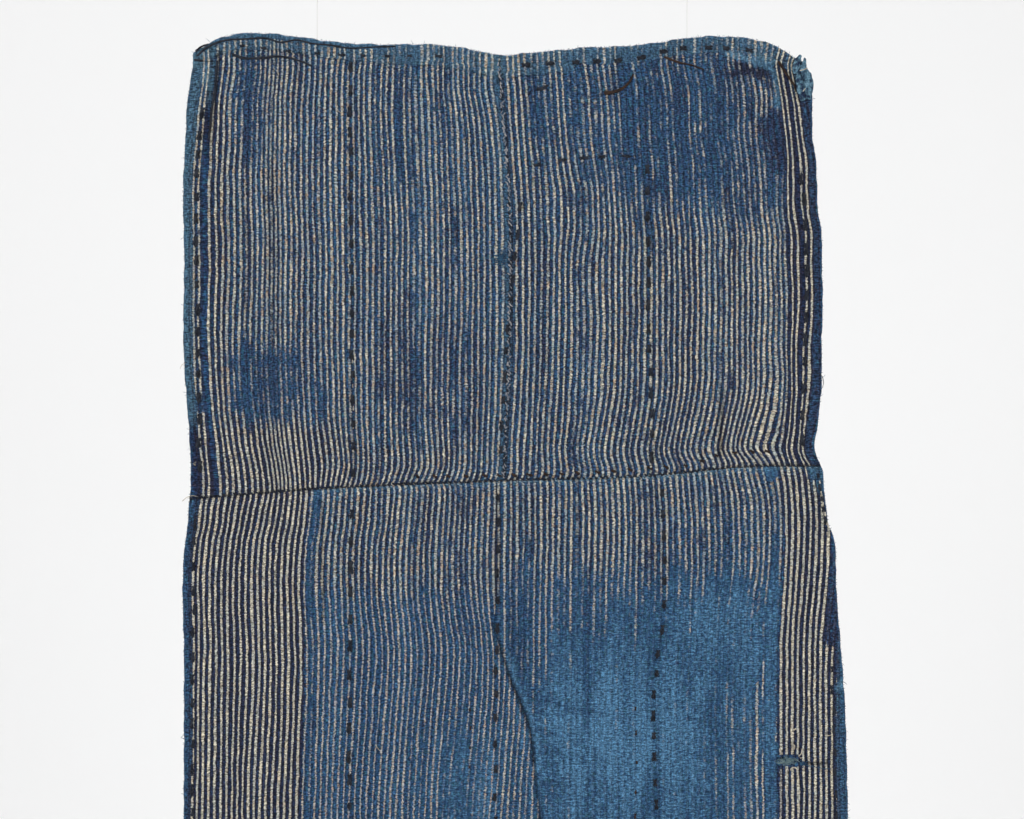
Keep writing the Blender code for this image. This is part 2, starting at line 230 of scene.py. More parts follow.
# Rows of stitches, each along a route of (across, height) places. The shown side is the face.
StitchRow = namedtuple("StitchRow", "name thread route stitch step radius lean", defaults=[0.0])
STITCH_ROWS = listed(StitchRow,
    ("upper_left", "dark", [(-0.15, -0.004), (-0.149, -0.2), (-0.147, -0.424)], 0.0105, 0.0225,
     0.0015),
    ("upper_right", "dark", [(0.147, -0.108), (0.149, -0.25), (0.153, -0.41)], 0.0105, 0.0225,
     0.0015),
    ("lower_left", "dark", [(-0.149, -0.452), (-0.151, -0.72), (-0.152, -1.05)], 0.0115, 0.0265,
     0.00155),
    ("lower_right", "dark", [(0.163, -0.432), (0.163, -0.57), (0.157, -0.612), (0.157, -0.8),
     (0.155, -1.05)], 0.01, 0.0235, 0.00145),
    ("centre_lower", "dark", [(-0.001, -0.436), (-0.004, -0.63), (-0.003, -1.05)], 0.0095, 0.025,
     0.0014),
    ("centre_upper", "dark", [(0.021, -0.142), (0.015, -0.2), (0.006, -0.3), (0.0, -0.405)],
     0.0095, 0.025, 0.0014),
    ("left_hem_upper", "dark", [(-0.2965, -0.048), (-0.3005, -0.08), (-0.303, -0.12),
     (-0.302, -0.24), (-0.3, -0.425)], 0.011, 0.022, 0.00165),
    ("left_hem_lower", "dark", [(-0.305, -0.462), (-0.306, -0.6), (-0.3075, -0.75),
     (-0.308, -1.05)], 0.0115, 0.021, 0.00115),
    ("right_hem_upper", "dark", [(0.3, -0.112), (0.3045, -0.15), (0.307, -0.19), (0.3065, -0.25),
     (0.304, -0.33), (0.301, -0.395)], 0.013, 0.025, 0.0015),
    ("right_hem_lower", "dark", [(0.331, -0.61), (0.3335, -0.67), (0.3355, -0.74),
     (0.3365, -1.05)], 0.0105, 0.0205, 0.00085),
    ("right_turn", "dark", [(0.3165, -0.418), (0.3205, -0.44), (0.3255, -0.478)], 0.006, 0.0105,
     0.001),
    ("top_hem_right", "dark", [(0.022, -0.01), (0.077, -0.007), (0.144, -0.002), (0.166, 0.004),
     (0.235, 0.006), (0.262, 0.003)], 0.0085, 0.0235, 0.00155),
    ("top_hem_left", "dark", [(-0.262, 0.01), (-0.19, 0.002), (-0.12, -0.001), (-0.055, -0.001)],
     0.0066, 0.025, 0.001),
    ("short_row", "dark", [(0.03, -0.111), (0.048, -0.107), (0.094, -0.102), (0.146, -0.101)],
     0.0095, 0.022, 0.00115),
    ("above_cross_seam", "brown", [(-0.084, -0.4215), (-0.012, -0.4205), (0.045, -0.4195),
     (0.1, -0.417), (0.16, -0.4125), (0.19, -0.41), (0.219, -0.4), (0.272, -0.396)], 0.006, 0.0165,
     0.00095, -0.0028),
    ("worn_mend", "brown", [(0.136, -0.65), (0.136, -0.74), (0.135, -0.86)], 0.005, 0.0262, 0.0007),
    ("left_mend", "brown", [(-0.03, -0.65), (-0.03, -0.72)], 0.003, 0.02, 0.0007),
    ("seam_piping", "ice", [(0.05, -0.4243), (0.1, -0.4228), (0.166, -0.4203), (0.241, -0.4128)],
     0.0026, 0.0042, 0.0005),
    ("upper_left_cream", "pale", [(-0.1475, -0.3), (-0.147, -0.424)], 0.006, 0.0215, 0.00035),
    ("right_turn_cream", "pale", [(0.318, -0.4235), (0.322, -0.445), (0.3275, -0.483)], 0.0045,
     0.0105, 0.00055))


LONG_STEP = 0.02  # rows with a longer step are the mending rows, which pull the cloth in


def polyline_nearness(points, width, across, height):
    """1 on a line through the points, falling off softly over the width."""
    nearest = np.full_like(across, np.inf)
    for head, foot in zip(points, points[1:]):
        run = (foot[0] - head[0], foot[1] - head[1])
        length = run[0] ** 2 + run[1] ** 2
        along = ((across - head[0]) * run[0] + (height - head[1]) * run[1]) / length
        along = np.clip(along, 0, 1)
        gap = np.hypot(across - head[0] - along * run[0], height - head[1] - along * run[1])
        nearest = np.minimum(nearest, gap)
    return bell(nearest, width)


def stitch_hollow(across, height):
    """The shallow valley that each row of running stitches pulls into the cloth."""
    hollow = np.zeros_like(across)
    for row in STITCH_ROWS:
        if row.step < LONG_STEP:
            continue
        pull = 0.7 + 0.3 * np.cos(2 * np.pi * (across + height) / row.step)
        hollow = hollow + 0.0007 * pull * polyline_nearness(row.route, 0.0045, across, height)
    return hollow


def pucker(across, height):
    """Small crimps that the sewing thread pulls in along the cross seam and the top hem."""
    from_seam = height - smooth_through(CROSS_SEAM, across)
    near = np.exp(-np.abs(from_seam) / 0.007)
    crimp = 0.00055 * np.sin(2 * np.pi * (across / PITCH + 0.25 * np.sign(from_seam))) * near
    drawn = 0.0010 * ripple(across, 0.034, 5) * np.exp(-np.abs(from_seam) / 0.016)
    from_top = smooth_through(TOP_EDGE, across) - height
    hem = bell(from_top - 0.015, 0.012)
    gather = 0.0012 * ripple(across + 0.15 * height, 0.047, 3) * hem
    return crimp + drawn + gather


def crumple(across, height):
    """Soft uneven wrinkles, longer down the cloth than across it."""
    broad = ripple(across + 0.012 * ripple(height, 0.23, 2), 0.071, 9)
    broad = broad * (0.6 + 0.4 * ripple(height, 0.31, 6))
    slack = ripple(height + 0.010 * ripple(across, 0.12, 4), 0.120, 8)
    slack = slack * ripple(across, 0.17, 1)
    return 0.00055 * broad + 0.00050 * slack


def face_depth(across, height):
    return (
        solid_depth(across, height)
        + stitch_hollow(across, height)
        + pucker(across, height)
        + crumple(across, height)
    )


# ---------------------------------------------------------------------------------------------
# The four panels: dense sheets that carry what the weave needs to know at each place.

# Where the stripes run. A place's distance from the panel's left side is measured as if the
# panel lay flat, as wide as it is at its reference height. Each StripeRow gives the stripe number
# at one such distance: stripe 3 runs from 3 to 4, and its light threads are round 3.5.
StripeRow = namedtuple("StripeRow", "distance stripe")
Panel = namedtuple(
    "Panel", "name slot left right top foot hems start guide reference stripes first last seed"
)

# The first of the crisp stripes beside the right edge of the lower right panel.
CRISP_START = listed(EdgeRow,
    (-0.411, 0.2815), (-0.425, 0.2838), (-0.45, 0.2866), (-0.48, 0.2874), (-0.537, 0.2849),
    (-0.564, 0.2829), (-0.618, 0.2803), (-0.686, 0.2793), (-0.745, 0.2803), (FOOT, 0.2815))
PANELS = [
    Panel("panel_upper_left", "upper_left_cloth", LEFT_EDGE, UPPER_SEAM, TOP_EDGE, CROSS_SEAM,
          "left top", LEFT_EDGE, UPPER_SEAM, -0.18,
          listed(StripeRow, (0.0, -0.1), (0.01, 1.5), (0.015, 2.5), (0.0255, 3.5), (0.032, 4.5),
                 (0.0435, 6.5), (0.0555, 8.5), (0.0665, 10.5), (0.0775, 12.5), (0.0865, 14.5),
                 (0.0955, 16.5), (0.1065, 18.5), (0.14, 24.2), (0.3255, 55.6)),
          1, 54, 11),
    Panel("panel_upper_right", "upper_right_cloth", UPPER_SEAM, RIGHT_EDGE, TOP_EDGE, CROSS_SEAM,
          "right top", UPPER_SEAM, RIGHT_EDGE, -0.18,
          listed(StripeRow, (0.0, -0.5), (0.0063, 0.5), (0.2697, 45.5), (0.275, 46.5),
                 (0.2816, 47.5), (0.288, 48.5), (0.2968, 49.5), (0.302, 50.5), (0.313, 52.3)),
          0, 50, 23),
    Panel("panel_lower_left", "lower_left_cloth", LEFT_EDGE, LOWER_SEAM, CROSS_SEAM, FOOT_EDGE,
          "left foot", LEFT_EDGE, LOWER_RUN, -0.62,
          listed(StripeRow, (0.0, -0.3), (0.0102, 1.5), (0.0152, 2.5), (0.0206, 3.5),
                 (0.0265, 4.5), (0.313, 53.2), (0.372, 63.2)),
          1, 62, 37),
    Panel("panel_lower_right", "lower_right_cloth", LOWER_SEAM, RIGHT_EDGE, CROSS_SEAM, FOOT_EDGE,
          "right foot", LOWER_RUN, CRISP_START, -0.618,
          listed(StripeRow, (0.0, 0.25), (0.2833, 48.5), (0.312, 53.5), (0.352, 60.5)),
          0, 58, 51),
]
CELL = 0.0024  # size of a panel's mesh cells away from edges, hems and seams
HOOK = 0.0036  # how far the stripes turn aside where they meet the cross seam
HOOK_REACH = 0.0045

# Places where the stripes are pulled sideways. The pull dies away over the given reaches.
Drift = namedtuple("Drift", "across height wide up down shift")
DRIFTS = {
    "panel_upper_left": listed(Drift,
        (-0.225, -0.44, 0.07, 0.048, 0.05, 0.0085), (-0.162, -0.408, 0.024, 0.03, 0.014, 0.004),
        (-0.303, -0.035, 0.014, 0.05, 0.06, 0.003), (-0.08, -0.41, 0.04, 0.03, 0.01, 0.004),
        (-0.02, -0.03, 0.03, 0.024, 0.02, -0.003), (-0.12, 0.0, 0.06, 0.02, 0.012, 0.0025),
        (-0.255, -0.06, 0.02, 0.05, 0.05, 0.002)),
    "panel_upper_right": listed(Drift,
        (0.298, -0.018, 0.014, 0.024, 0.04, -0.0075), (0.283, -0.09, 0.009, 0.032, 0.045, 0.0042),
        (0.286, 0.012, 0.026, 0.03, 0.016, 0.005), (0.305, -0.345, 0.01, 0.07, 0.08, -0.0045),
        (0.281, -0.345, 0.011, 0.07, 0.08, 0.0036), (0.246, -0.391, 0.022, 0.034, 0.012, -0.007),
        (0.19, -0.395, 0.03, 0.04, 0.014, -0.005), (0.11, -0.4, 0.05, 0.04, 0.016, -0.004),
        (0.08, -0.14, 0.03, 0.03, 0.04, 0.003), (0.08, -0.215, 0.024, 0.03, 0.04, -0.003)),
    "panel_lower_left": listed(Drift,
        (-0.24, -0.44, 0.06, 0.01, 0.026, 0.0045), (-0.1, -0.436, 0.07, 0.01, 0.05, 0.0055),
        (-0.05, -0.6, 0.11, 0.045, 0.075, 0.0075), (-0.2, -0.76, 0.12, 0.07, 0.2, -0.003),
        (-0.01, -0.8, 0.1, 0.09, 0.2, -0.0045)),
    "panel_lower_right": listed(Drift,
        (0.245, -0.415, 0.03, 0.01, 0.02, -0.0035), (0.25, -0.56, 0.03, 0.04, 0.04, -0.003)),
}


def lines_between(total, start_hem, end_hem, start_fine, end_fine):
    """Fractions 0 to 1 of the mesh lines over a width: fine at its edges, hems and fine ends."""
    places = []
    for hem, fine, at_start in ((start_hem, start_fine, True), (end_hem, end_fine, False)):
        edge = [0, 0.0002, 0.0006, 0.0012]
        edge += list(np.arange(0.0022, fine, 0.0012)) if fine else []
        edge += [hem - 0.0006, hem + 0.0006]
        places += edge if at_start else [total - place for place in edge]
    places += list(np.linspace(0, total, round(total / CELL) + 1))
    places = np.array(sorted(place for place in places if 0 <= place <= total))
    kept = [0.0]
    for place in places[1:]:
        if place - kept[-1] >= (0.00018 if min(place, total - place) < 0.0014 else 0.0006):
            kept.append(place)
    kept[-1] = total
    return np.array(kept) / total


def panel_lines(panel):
    """The mesh lines' places, with the distance of each point from each of the four sides."""
    hems = panel.hems.split()
    hem = {name: SIDE_HEM if name in hems else ALLOWANCE for name in ("left", "right")}
    hem["top"] = TOP_HEM if "top" in hems else ALLOWANCE
    hem["foot"] = FOOT_HEM if "foot" in hems else ALLOWANCE
    tall = panel.top[0].height - panel.foot[0].height
    over = lines_between(0.325, hem["left"], hem["right"], 0, 0)
    fine_top = 0.014 if "top" not in hems else 0.024
    fine_foot = 0.014 if "foot" not in hems else 0
    down = lines_between(tall, hem["top"], hem["foot"], fine_top, fine_foot)
    over, down = np.meshgrid(over, down)
    height = panel.top[0].height - down * tall
    for _ in range(5):
        wander = 0.00045 * ripple(height, 0.033, panel.seed)
        left = edge_place(panel.left, height) + (wander if "left" in hems else -SEAM_LAP)
        right = edge_place(panel.right, height) - (wander if "right" in hems else -SEAM_LAP)
        across = left + over * (right - left)
        top = smooth_through(panel.top, across)
        top = top + (0.00080 * ripple(across, 0.031, 7) if "top" in hems else SEAM_LAP)
        foot = smooth_through(panel.foot, across)
        foot = foot + (0.0006 * ripple(across, 0.070, 8) if "foot" in hems else -SEAM_LAP)
        height = top + down * (foot - top)
    away = {"left": across - left, "right": right - across,
            "top": top - height, "foot": height - foot}
    return across, height, away, hem


def panel_thickness(panel, across, away, hem):
    """Hems and seam allowances are turned to the back, and are thicker than one layer."""
    thick = np.full_like(across, CLOTH)
    for side, distance in away.items():
        extra = HEM_EXTRA if side in panel.hems.split() else SEAM_EXTRA
        turned = extra * (1 - soft_step(distance, hem[side] - 0.0005, hem[side] + 0.0007))
        thick = np.maximum(thick, CLOTH + turned)
    return thick


def edge_round(away, radius):
    """How much a rounded edge falls back at a distance from the outline."""
    short = np.clip(1 - away / radius, 0, 1)
    return radius * (1 - np.sqrt(1 - short**2 * 0.999))


def lain_flat(panel, across, height):
    """Each point's distance from the panel's left side when the panel lies flat."""
    left = edge_place(panel.start, height)
    guide = edge_place(panel.guide, height)
    at = np.array([panel.reference])
    full = edge_place(panel.guide, at)[0] - edge_place(panel.start, at)[0]
    share = (across - left) / (guide - left)
    distance = np.where(share < 1, share * full, full + across - guide)
    for drift in DRIFTS[panel.name]:
        above = height > drift.height
        fall = (height - drift.height) / np.where(above, drift.up, drift.down)
        cover = np.exp(-(((across - drift.across) / drift.wide) ** 2) - fall**2)
        distance = distance - drift.shift * cover
    if panel.foot is CROSS_SEAM:
        from_seam = np.maximum(height - smooth_through(CROSS_SEAM, across), 0)
        hooked = soft_step(across, -0.190, -0.140) * (1 - soft_step(across, 0.230, 0.270))
        distance = distance + HOOK * hooked * np.exp(-from_seam / HOOK_REACH)
    return distance


# Places where the cloth looks different, each a soft-edged rectangle, by distance from the
# panel's left side as it lies flat and by height. stripes: how much of the light stripes is left.
# wear: how pale the blue ground is. fresh: how crisp and undimmed the colours are. thin: how
# narrow the light stripes are. None leaves a value as it is.
Zone = namedtuple("Zone", "name left right top foot soft_x soft_z stripes wear fresh thin")
ANY = 9.0  # beyond every edge
ZONES = {
    "panel_upper_left": listed(Zone,
        ("ground", -ANY, ANY, ANY, -ANY, 0.01, 0.01, 0.9, 0.32, 0.12, 0.1),
        ("near_centre", 0.17, ANY, ANY, -ANY, 0.06, 0.01, 0.86, 0.38, 0.05, 0.15),
        ("low_centre", 0.195, 0.311, -0.262, -0.385, 0.03, 0.035, 0.74, 0.28, 0.0, 0.3),
        ("left_hem", -ANY, 0.021, ANY, -0.372, 0.001, 0.01, 1.1, 0.38, 0.4, 0.0),
        ("left_stripes", 0.021, 0.043, -0.03, -0.4, 0.002, 0.03, 1.15, 0.24, 0.5, 0.0),
        ("faint_corner", 0.046, 0.078, 0.004, -0.096, 0.007, 0.022, 0.48, 0.4, None, 0.35),
        ("lost_stripe", 0.2142, 0.2204, -0.028, -0.11, 0.001, 0.02, 0.12, None, None, None),
        ("lost_right", 0.262, 0.268, -0.045, -0.085, 0.002, 0.016, 0.4, None, None, None),
        ("dark_patch", 0.043, 0.112, -0.29, -0.366, 0.006, 0.012, 0.46, 0.41, 0.0, 0.62),
        ("patch_side", 0.106, 0.148, -0.3, -0.36, 0.01, 0.014, 0.68, 0.36, 0.0, 0.4),
        ("hem_bare", -ANY, 0.023, -0.34, -0.358, 0.002, 0.004, 0.5, 0.45, None, None),
        ("above_seam", 0.019, 0.148, -0.371, -ANY, 0.016, 0.01, 1.3, 0.16, 0.85, 0.0),
        ("hem_foot", -ANY, 0.019, -0.371, -ANY, 0.001, 0.01, 1.2, 0.2, 0.7, 0.0),
        ("above_seam_mid", 0.148, 0.29, -0.39, -ANY, 0.02, 0.014, 1.0, 0.27, 0.3, 0.05)),
    "panel_upper_right": listed(Zone,
        ("ground", -ANY, ANY, ANY, -ANY, 0.01, 0.01, 0.94, 0.33, 0.15, 0.1),
        ("sparse", 0.086, 0.276, 0.01, -0.152, 0.016, 0.04, 0.46, 0.4, 0.0, 0.4),
        ("half_sparse", 0.025, 0.086, -0.01, -0.105, 0.012, 0.024, 0.66, 0.4, 0.0, 0.2),
        ("lost_run", 0.055, 0.067, -0.134, -0.164, 0.002, 0.008, 0.35, None, None, None),
        ("faint_right", 0.232, 0.272, -0.05, -0.16, 0.006, 0.01, 0.42, 0.34, None, 0.45),
        ("indigo_corner", 0.24, 0.272, -0.004, -0.03, 0.01, 0.008, 0.15, 0.16, 0.0, None),
        ("short_stripes", 0.25, 0.279, -0.026, -0.054, 0.003, 0.008, 0.92, 0.2, 0.0, 0.35),
        ("indigo_patch", 0.259, 0.281, -0.058, -0.112, 0.005, 0.012, 0.28, 0.18, 0.0, 0.5),
        ("lower_field", 0.076, 0.27, -0.18, -0.4, 0.012, 0.034, 0.96, 0.3, 0.22, 0.05),
        ("above_seam", 0.205, 0.276, -0.345, -ANY, 0.012, 0.02, 1.2, 0.22, 0.6, 0.0),
        ("crisp_right", 0.2787, ANY, 0.008, -ANY, 0.001, 0.004, 1.3, 0.15, 0.9, 0.0),
        ("selvedge", 0.304, ANY, ANY, -ANY, 0.0008, 0.01, -1.0, 0.26, 0.4, None)),
    "panel_lower_left": listed(Zone,
        ("ground", -ANY, ANY, ANY, -ANY, 0.01, 0.01, 0.96, 0.31, 0.22, 0.1),
        ("thin_field", 0.1, ANY, -0.54, -ANY, 0.004, 0.014, 0.98, 0.47, 0.0, 0.72),
        ("bare_patch", 0.236, 0.252, -0.534, -0.546, 0.006, 0.004, 0.55, 0.46, 0.0, 0.6),
        ("fading", 0.24, ANY, -0.68, -ANY, 0.024, 0.024, 0.66, 0.68, 0.0, 0.75),
        ("at_seam", 0.318, ANY, -0.676, -ANY, 0.004, 0.02, 0.9, 0.54, 0.0, 0.6),
        ("blue_band", 0.119, 0.129, ANY, -ANY, 0.001, 0.01, 0.56, 0.52, 0.0, 0.55),
        ("crisp_left", -ANY, 0.119, ANY, -ANY, 0.0012, 0.01, 1.35, 0.14, 0.95, 0.0),
        ("edge", -ANY, 0.0085, ANY, -ANY, 0.0008, 0.01, -1.0, 0.3, 0.3, None)),
    "panel_lower_right": listed(Zone,
        ("ground", -ANY, ANY, ANY, -ANY, 0.01, 0.01, 0.96, 0.32, 0.22, 0.1),
        ("right_thinning", 0.145, ANY, -0.462, -ANY, 0.03, 0.03, 0.86, 0.4, 0.05, 0.35),
        ("thinning", -ANY, ANY, -0.516, -ANY, 0.001, 0.02, 0.66, 0.5, 0.0, 0.62),
        ("worn", 0.175, ANY, -0.534, -ANY, 0.024, 0.036, 0.08, 0.66, 0.0, 0.45),
        ("worn_middle", 0.11, 0.19, -0.556, -ANY, 0.022, 0.034, 0.08, 0.66, 0.0, 0.45),
        ("worn_left", 0.05, 0.125, -0.58, -ANY, 0.02, 0.034, 0.08, 0.66, 0.0, 0.45),
        ("worn_at_seam", -ANY, 0.06, -0.628, -ANY, 0.012, 0.026, 0.08, 0.62, 0.0, 0.5),
        ("palest", 0.06, 0.225, -0.63, -0.735, 0.05, 0.045, None, 0.96, None, None),
        ("pale_top", 0.18, 0.27, -0.535, -0.6, 0.03, 0.02, None, 0.8, None, None),
        ("faint_return", 0.205, 0.27, -0.64, -0.9, 0.01, 0.02, 0.34, 0.66, 0.0, 0.6),
        ("one_light", 0.257, 0.262, -0.628, -1.0, 0.0006, 0.006, 1.15, 0.45, 0.2, 0.25),
        ("next_light", 0.263, 0.268, -0.612, -0.645, 0.0006, 0.004, 1.05, 0.45, 0.1, 0.4),
        ("next_light_low", 0.263, 0.268, -0.7, -1.0, 0.0006, 0.006, 1.0, 0.45, 0.1, 0.4),
        ("pale_mend", 0.268, 0.281, ANY, -0.424, 0.002, 0.003, 0.05, 0.58, 0.0, None),
        ("crisp_right", 0.2806, ANY, ANY, -ANY, 0.0012, 0.01, 1.35, 0.14, 0.95, 0.0),
        ("under_hem", 0.327, ANY, ANY, -0.592, 0.0008, 0.012, -1.0, 0.26, 0.4, None),
        ("edge", 0.3395, ANY, ANY, -ANY, 0.0008, 0.01, -1.0, 0.4, 0.2, None),
        ("turned_corner", 0.3085, ANY, ANY, -0.423, 0.0008, 0.003, -1.0, 0.44, 0.0, None),
        ("turned_low", 0.315, ANY, -0.423, -0.438, 0.0012, 0.003, -1.0, 0.4, 0.0, None),
        ("torn_end", 0.28, 0.286, -0.704, -0.76, 0.0006, 0.004, 0.4, 0.1, None, 0.5),
        ("slit", 0.279, 0.302, -0.6995, -0.7105, 0.002, 0.001, -1.0, 0.4, 0.0, None)),
}

# Where the blue has rubbed to a greyed teal, by distance and height as in the zones.
Greyed = namedtuple("Greyed", "left right top foot soft_x soft_z amount")
GREYED = {
    "panel_upper_left": listed(Greyed,
        (-ANY, 0.0088, ANY, -0.37, 0.001, 0.01, 0.85),
        (0.015, 0.023, 0.012, -0.05, 0.0012, 0.01, 0.8),
        (0.318, ANY, ANY, -ANY, 0.002, 0.01, 0.5)),
    "panel_upper_right": listed(Greyed,
        (-ANY, 0.0035, ANY, -ANY, 0.002, 0.01, 0.5), (0.298, ANY, ANY, -0.04, 0.002, 0.006, 0.5),
        (0.304, ANY, -0.04, -ANY, 0.001, 0.01, 0.12)),
    "panel_lower_left": listed(Greyed,
        (-ANY, 0.0085, ANY, -ANY, 0.001, 0.01, 0.18)),
    "panel_lower_right": listed(Greyed,
        (0.3395, ANY, ANY, -ANY, 0.001, 0.01, 0.3),
        (0.3085, ANY, ANY, -0.438, 0.001, 0.003, 0.35)),
}

# Soft lines along which the cloth is darker or paler, by place. shade: painted shadow and painted
# shade along folds, creases and seams, and below 0 a painted highlight on ridges.
Mark = namedtuple("Mark", "name route width shade wear")
MARKS = listed(Mark,
    # left_fold and left_fold_low: painted shadow of the fold beside the left hem.
    ("left_fold", [(-0.281, 0.003), (-0.287, -0.045), (-0.293, -0.101)], 0.0022, 0.5, 0.0),
    ("left_fold_low", [(-0.293, -0.101), (-0.2945, -0.2)], 0.0018, 0.22, 0.0),
    # drag_shadow and corner_shadow: painted shadow of the creases; their wear below 0 darkens the
    # dye as part of it.
    ("drag_shadow", [(-0.0045, -0.572), (0.003, -0.6), (0.011, -0.625), (0.0215, -0.65),
     (0.03, -0.675), (0.0335, -0.705)], 0.0024, 0.55, -0.1),
    ("drag_shadow_low", [(0.0335, -0.705), (0.0375, -0.74), (0.0425, -0.78)], 0.002, 0.28, 0.0),
    # drag_ridge, corner_fold, corner_crease, hem_patch and pale_hem: a small painted highlight on
    # ridges, with pale rubbed wear.
    ("drag_ridge", [(0.008, -0.603), (0.018, -0.632), (0.029, -0.657), (0.0375, -0.692)], 0.004,
     -0.05, 0.15),
    ("corner_fold", [(0.257, -0.001), (0.266, -0.0045), (0.2745, -0.007)], 0.003, -0.1, 0.8),
    ("corner_crease", [(0.228, 0.002), (0.257, -0.0085), (0.266, -0.0105), (0.2745, -0.017),
     (0.277, -0.032), (0.2775, -0.05)], 0.0032, -0.1, 0.8),
    ("corner_shadow", [(0.24, -0.012), (0.262, -0.02)], 0.006, 0.3, -0.3),
    # converging: painted shadow of the crease above the cross seam.
    ("converging", [(0.2215, -0.335), (0.22, -0.4)], 0.0022, 0.5, 0.0),
    ("dark_streak", [(-0.1785, -0.445), (-0.1775, -0.57)], 0.0016, 0.6, 0.0),
    ("centre_dark", [(-0.042, -0.15), (-0.044, -0.185)], 0.006, 0.15, -0.1),
    # turned_edge: painted shadow along the turned edge.
    ("turned_edge", [(0.315, -0.4), (0.3205, -0.44), (0.326, -0.478)], 0.0028, 0.35, 0.0),
    ("slit_shadow", [(0.2775, -0.703), (0.29, -0.704), (0.301, -0.7065), (0.314, -0.7085),
     (0.329, -0.7065)], 0.0013, 0.85, 0),
    ("hem_patch", [(0.3365, -0.633), (0.343, -0.627)], 0.0028, -0.1, 0.8),
    ("pale_hem", [(-0.296, -0.012), (-0.292, -0.03)], 0.005, -0.1, 0.6),
    ("seam_wear", [(row.across, row.height - 0.002) for row in CROSS_SEAM[1:]], 0.002, 0.0, 0.35))


def cover_of(zone, distance, height):
    return (
        soft_step(distance, zone.left - zone.soft_x, zone.left + zone.soft_x)
        * (1 - soft_step(distance, zone.right - zone.soft_x, zone.right + zone.soft_x))
        * soft_step(height, zone.foot - zone.soft_z, zone.foot + zone.soft_z)
        * (1 - soft_step(height, zone.top - zone.soft_z, zone.top + zone.soft_z))
    )


# Painted shade in hollows and painted light on ridges: these two sizes set where and how strongly.
AROUND = 0.007  # hollows and ridges are told from the cloth this far round each place,
SUNK = 0.0012  # and one this deep is fully darkened


def look_values(panel, across, height, away, distance):
    """The named values that the weave reads at each place: later zones cover earlier ones."""
    values = {name: np.zeros_like(across) for name in ("stripes", "wear", "fresh", "thin")}
    uneven = ripple(height + 0.21 * across, 0.043, 3) + 0.6 * ripple(height, 0.017, 7)
    ragged = ripple(across - 0.13 * height, 0.051, 5) + 0.8 * ripple(across, 0.013, 2)
    for zone in ZONES[panel.name]:
        cover = cover_of(zone, distance + 0.7 * zone.soft_x * uneven,
                         height + 0.7 * zone.soft_z * ragged)
        for name, value in values.items():
            wanted = getattr(zone, name)
            if wanted is not None:
                values[name] = value + cover * (wanted - value)
    values["shade"] = np.zeros_like(across)
    values["grey"] = np.zeros_like(across)
    for greyed in GREYED[panel.name]:
        cover = cover_of(greyed, distance, height)
        values["grey"] += cover * (greyed.amount - values["grey"])
    for mark in MARKS:
        near = polyline_nearness(mark.route, mark.width, across, height)
        values["shade"] += mark.shade * near
        values["wear"] += mark.wear * near
        values["grey"] += max(mark.wear, 0) * near
    add_seam_looks(panel, across, away, values)
    # Painted shade: hollows of the relief are darkened and ridges lightened in the colour; the wear
    # term also pales the ridges, partly as rubbed dye and partly as painted light.
    around = [
        face_depth(across + AROUND * math.cos(turn), height + AROUND * math.sin(turn))
        for turn in np.arange(8) * math.pi / 4
    ]
    sunk = (face_depth(across, height) - sum(around) / len(around)) / SUNK
    values["shade"] += 0.13 * np.clip(sunk, -1.0, 1.6)
    values["wear"] -= 0.10 * np.clip(sunk, -1.2, 1.2)
    return values


# RUBBED also sets the width of the painted shade along the seams.
RUBBED = 0.0016  # how far a fold or a seam shows rubbing or dimness
HEM_DEEP = 0.0165
PIPED = (0.0046, 0.0056)  # where the bare, rolled edge of the top hem ends


def add_seam_looks(panel, across, away, values):
    """Rubbed folds at the outline, painted shade along the seams, and the look of the top hem with
    painted shadow under its fold.
    """
    hems = panel.hems.split()
    for side, from_side in away.items():
        if side in hems:
            values["wear"] += 0.30 * bell(from_side, RUBBED)
        else:
            # Painted shade along the seams: strong at the cross seam, faint at the centre seam.
            dim = 0.40 if side in ("top", "foot") else 0.08
            values["shade"] += dim * bell(from_side, RUBBED)
    if "top" not in hems:
        return
    from_top = away["top"]
    deep = HEM_DEEP + 0.0060 * soft_step(across, -0.200, -0.020) * (across < 0.075)
    in_hem = 1 - soft_step(from_top, deep - 0.0006, deep + 0.0006)
    plain = in_hem * (across > -0.275) * (across < 0.255) * (np.abs(across - 0.010) > 0.030)
    values["wear"] += 0.16 * in_hem
    values["grey"] += 0.55 * in_hem
    values["stripes"] -= 0.22 * plain
    # Painted shadow along the fold of the top hem.
    fold = bell(from_top - deep, 0.0013) * (across < 0.065)
    values["shade"] += 0.34 * fold
    piped = 1 - soft_step(from_top, *PIPED)
    piped = piped * (1 - soft_step(across, -0.130, -0.100))
    values["stripes"] -= 0.9 * piped
    values["wear"] += 0.14 * piped


def rim_of(index):
    return [*index[0, :-1], *index[:-1, -1], *index[-1, :0:-1], *index[:0:-1, 0]]


def add_mesh(name, points, faces, smooth=True):
    mesh = bpy.data.meshes.new(name)
    mesh.from_pydata(np.asarray(points).tolist(), [], faces)
    mesh.update()
    obj = bpy.data.objects.new(name, mesh)
    bpy.context.scene.collection.objects.link(obj)
    if smooth:
        mesh.shade_smooth()
    return obj


def set_map(mesh, name, places):
    """Gives the mesh a UV map from one (u, v) place for each face corner."""
    layer = mesh.uv_layers.new(name=name)
    layer.data.foreach_set("uv", np.asarray(places, np.float32).ravel())


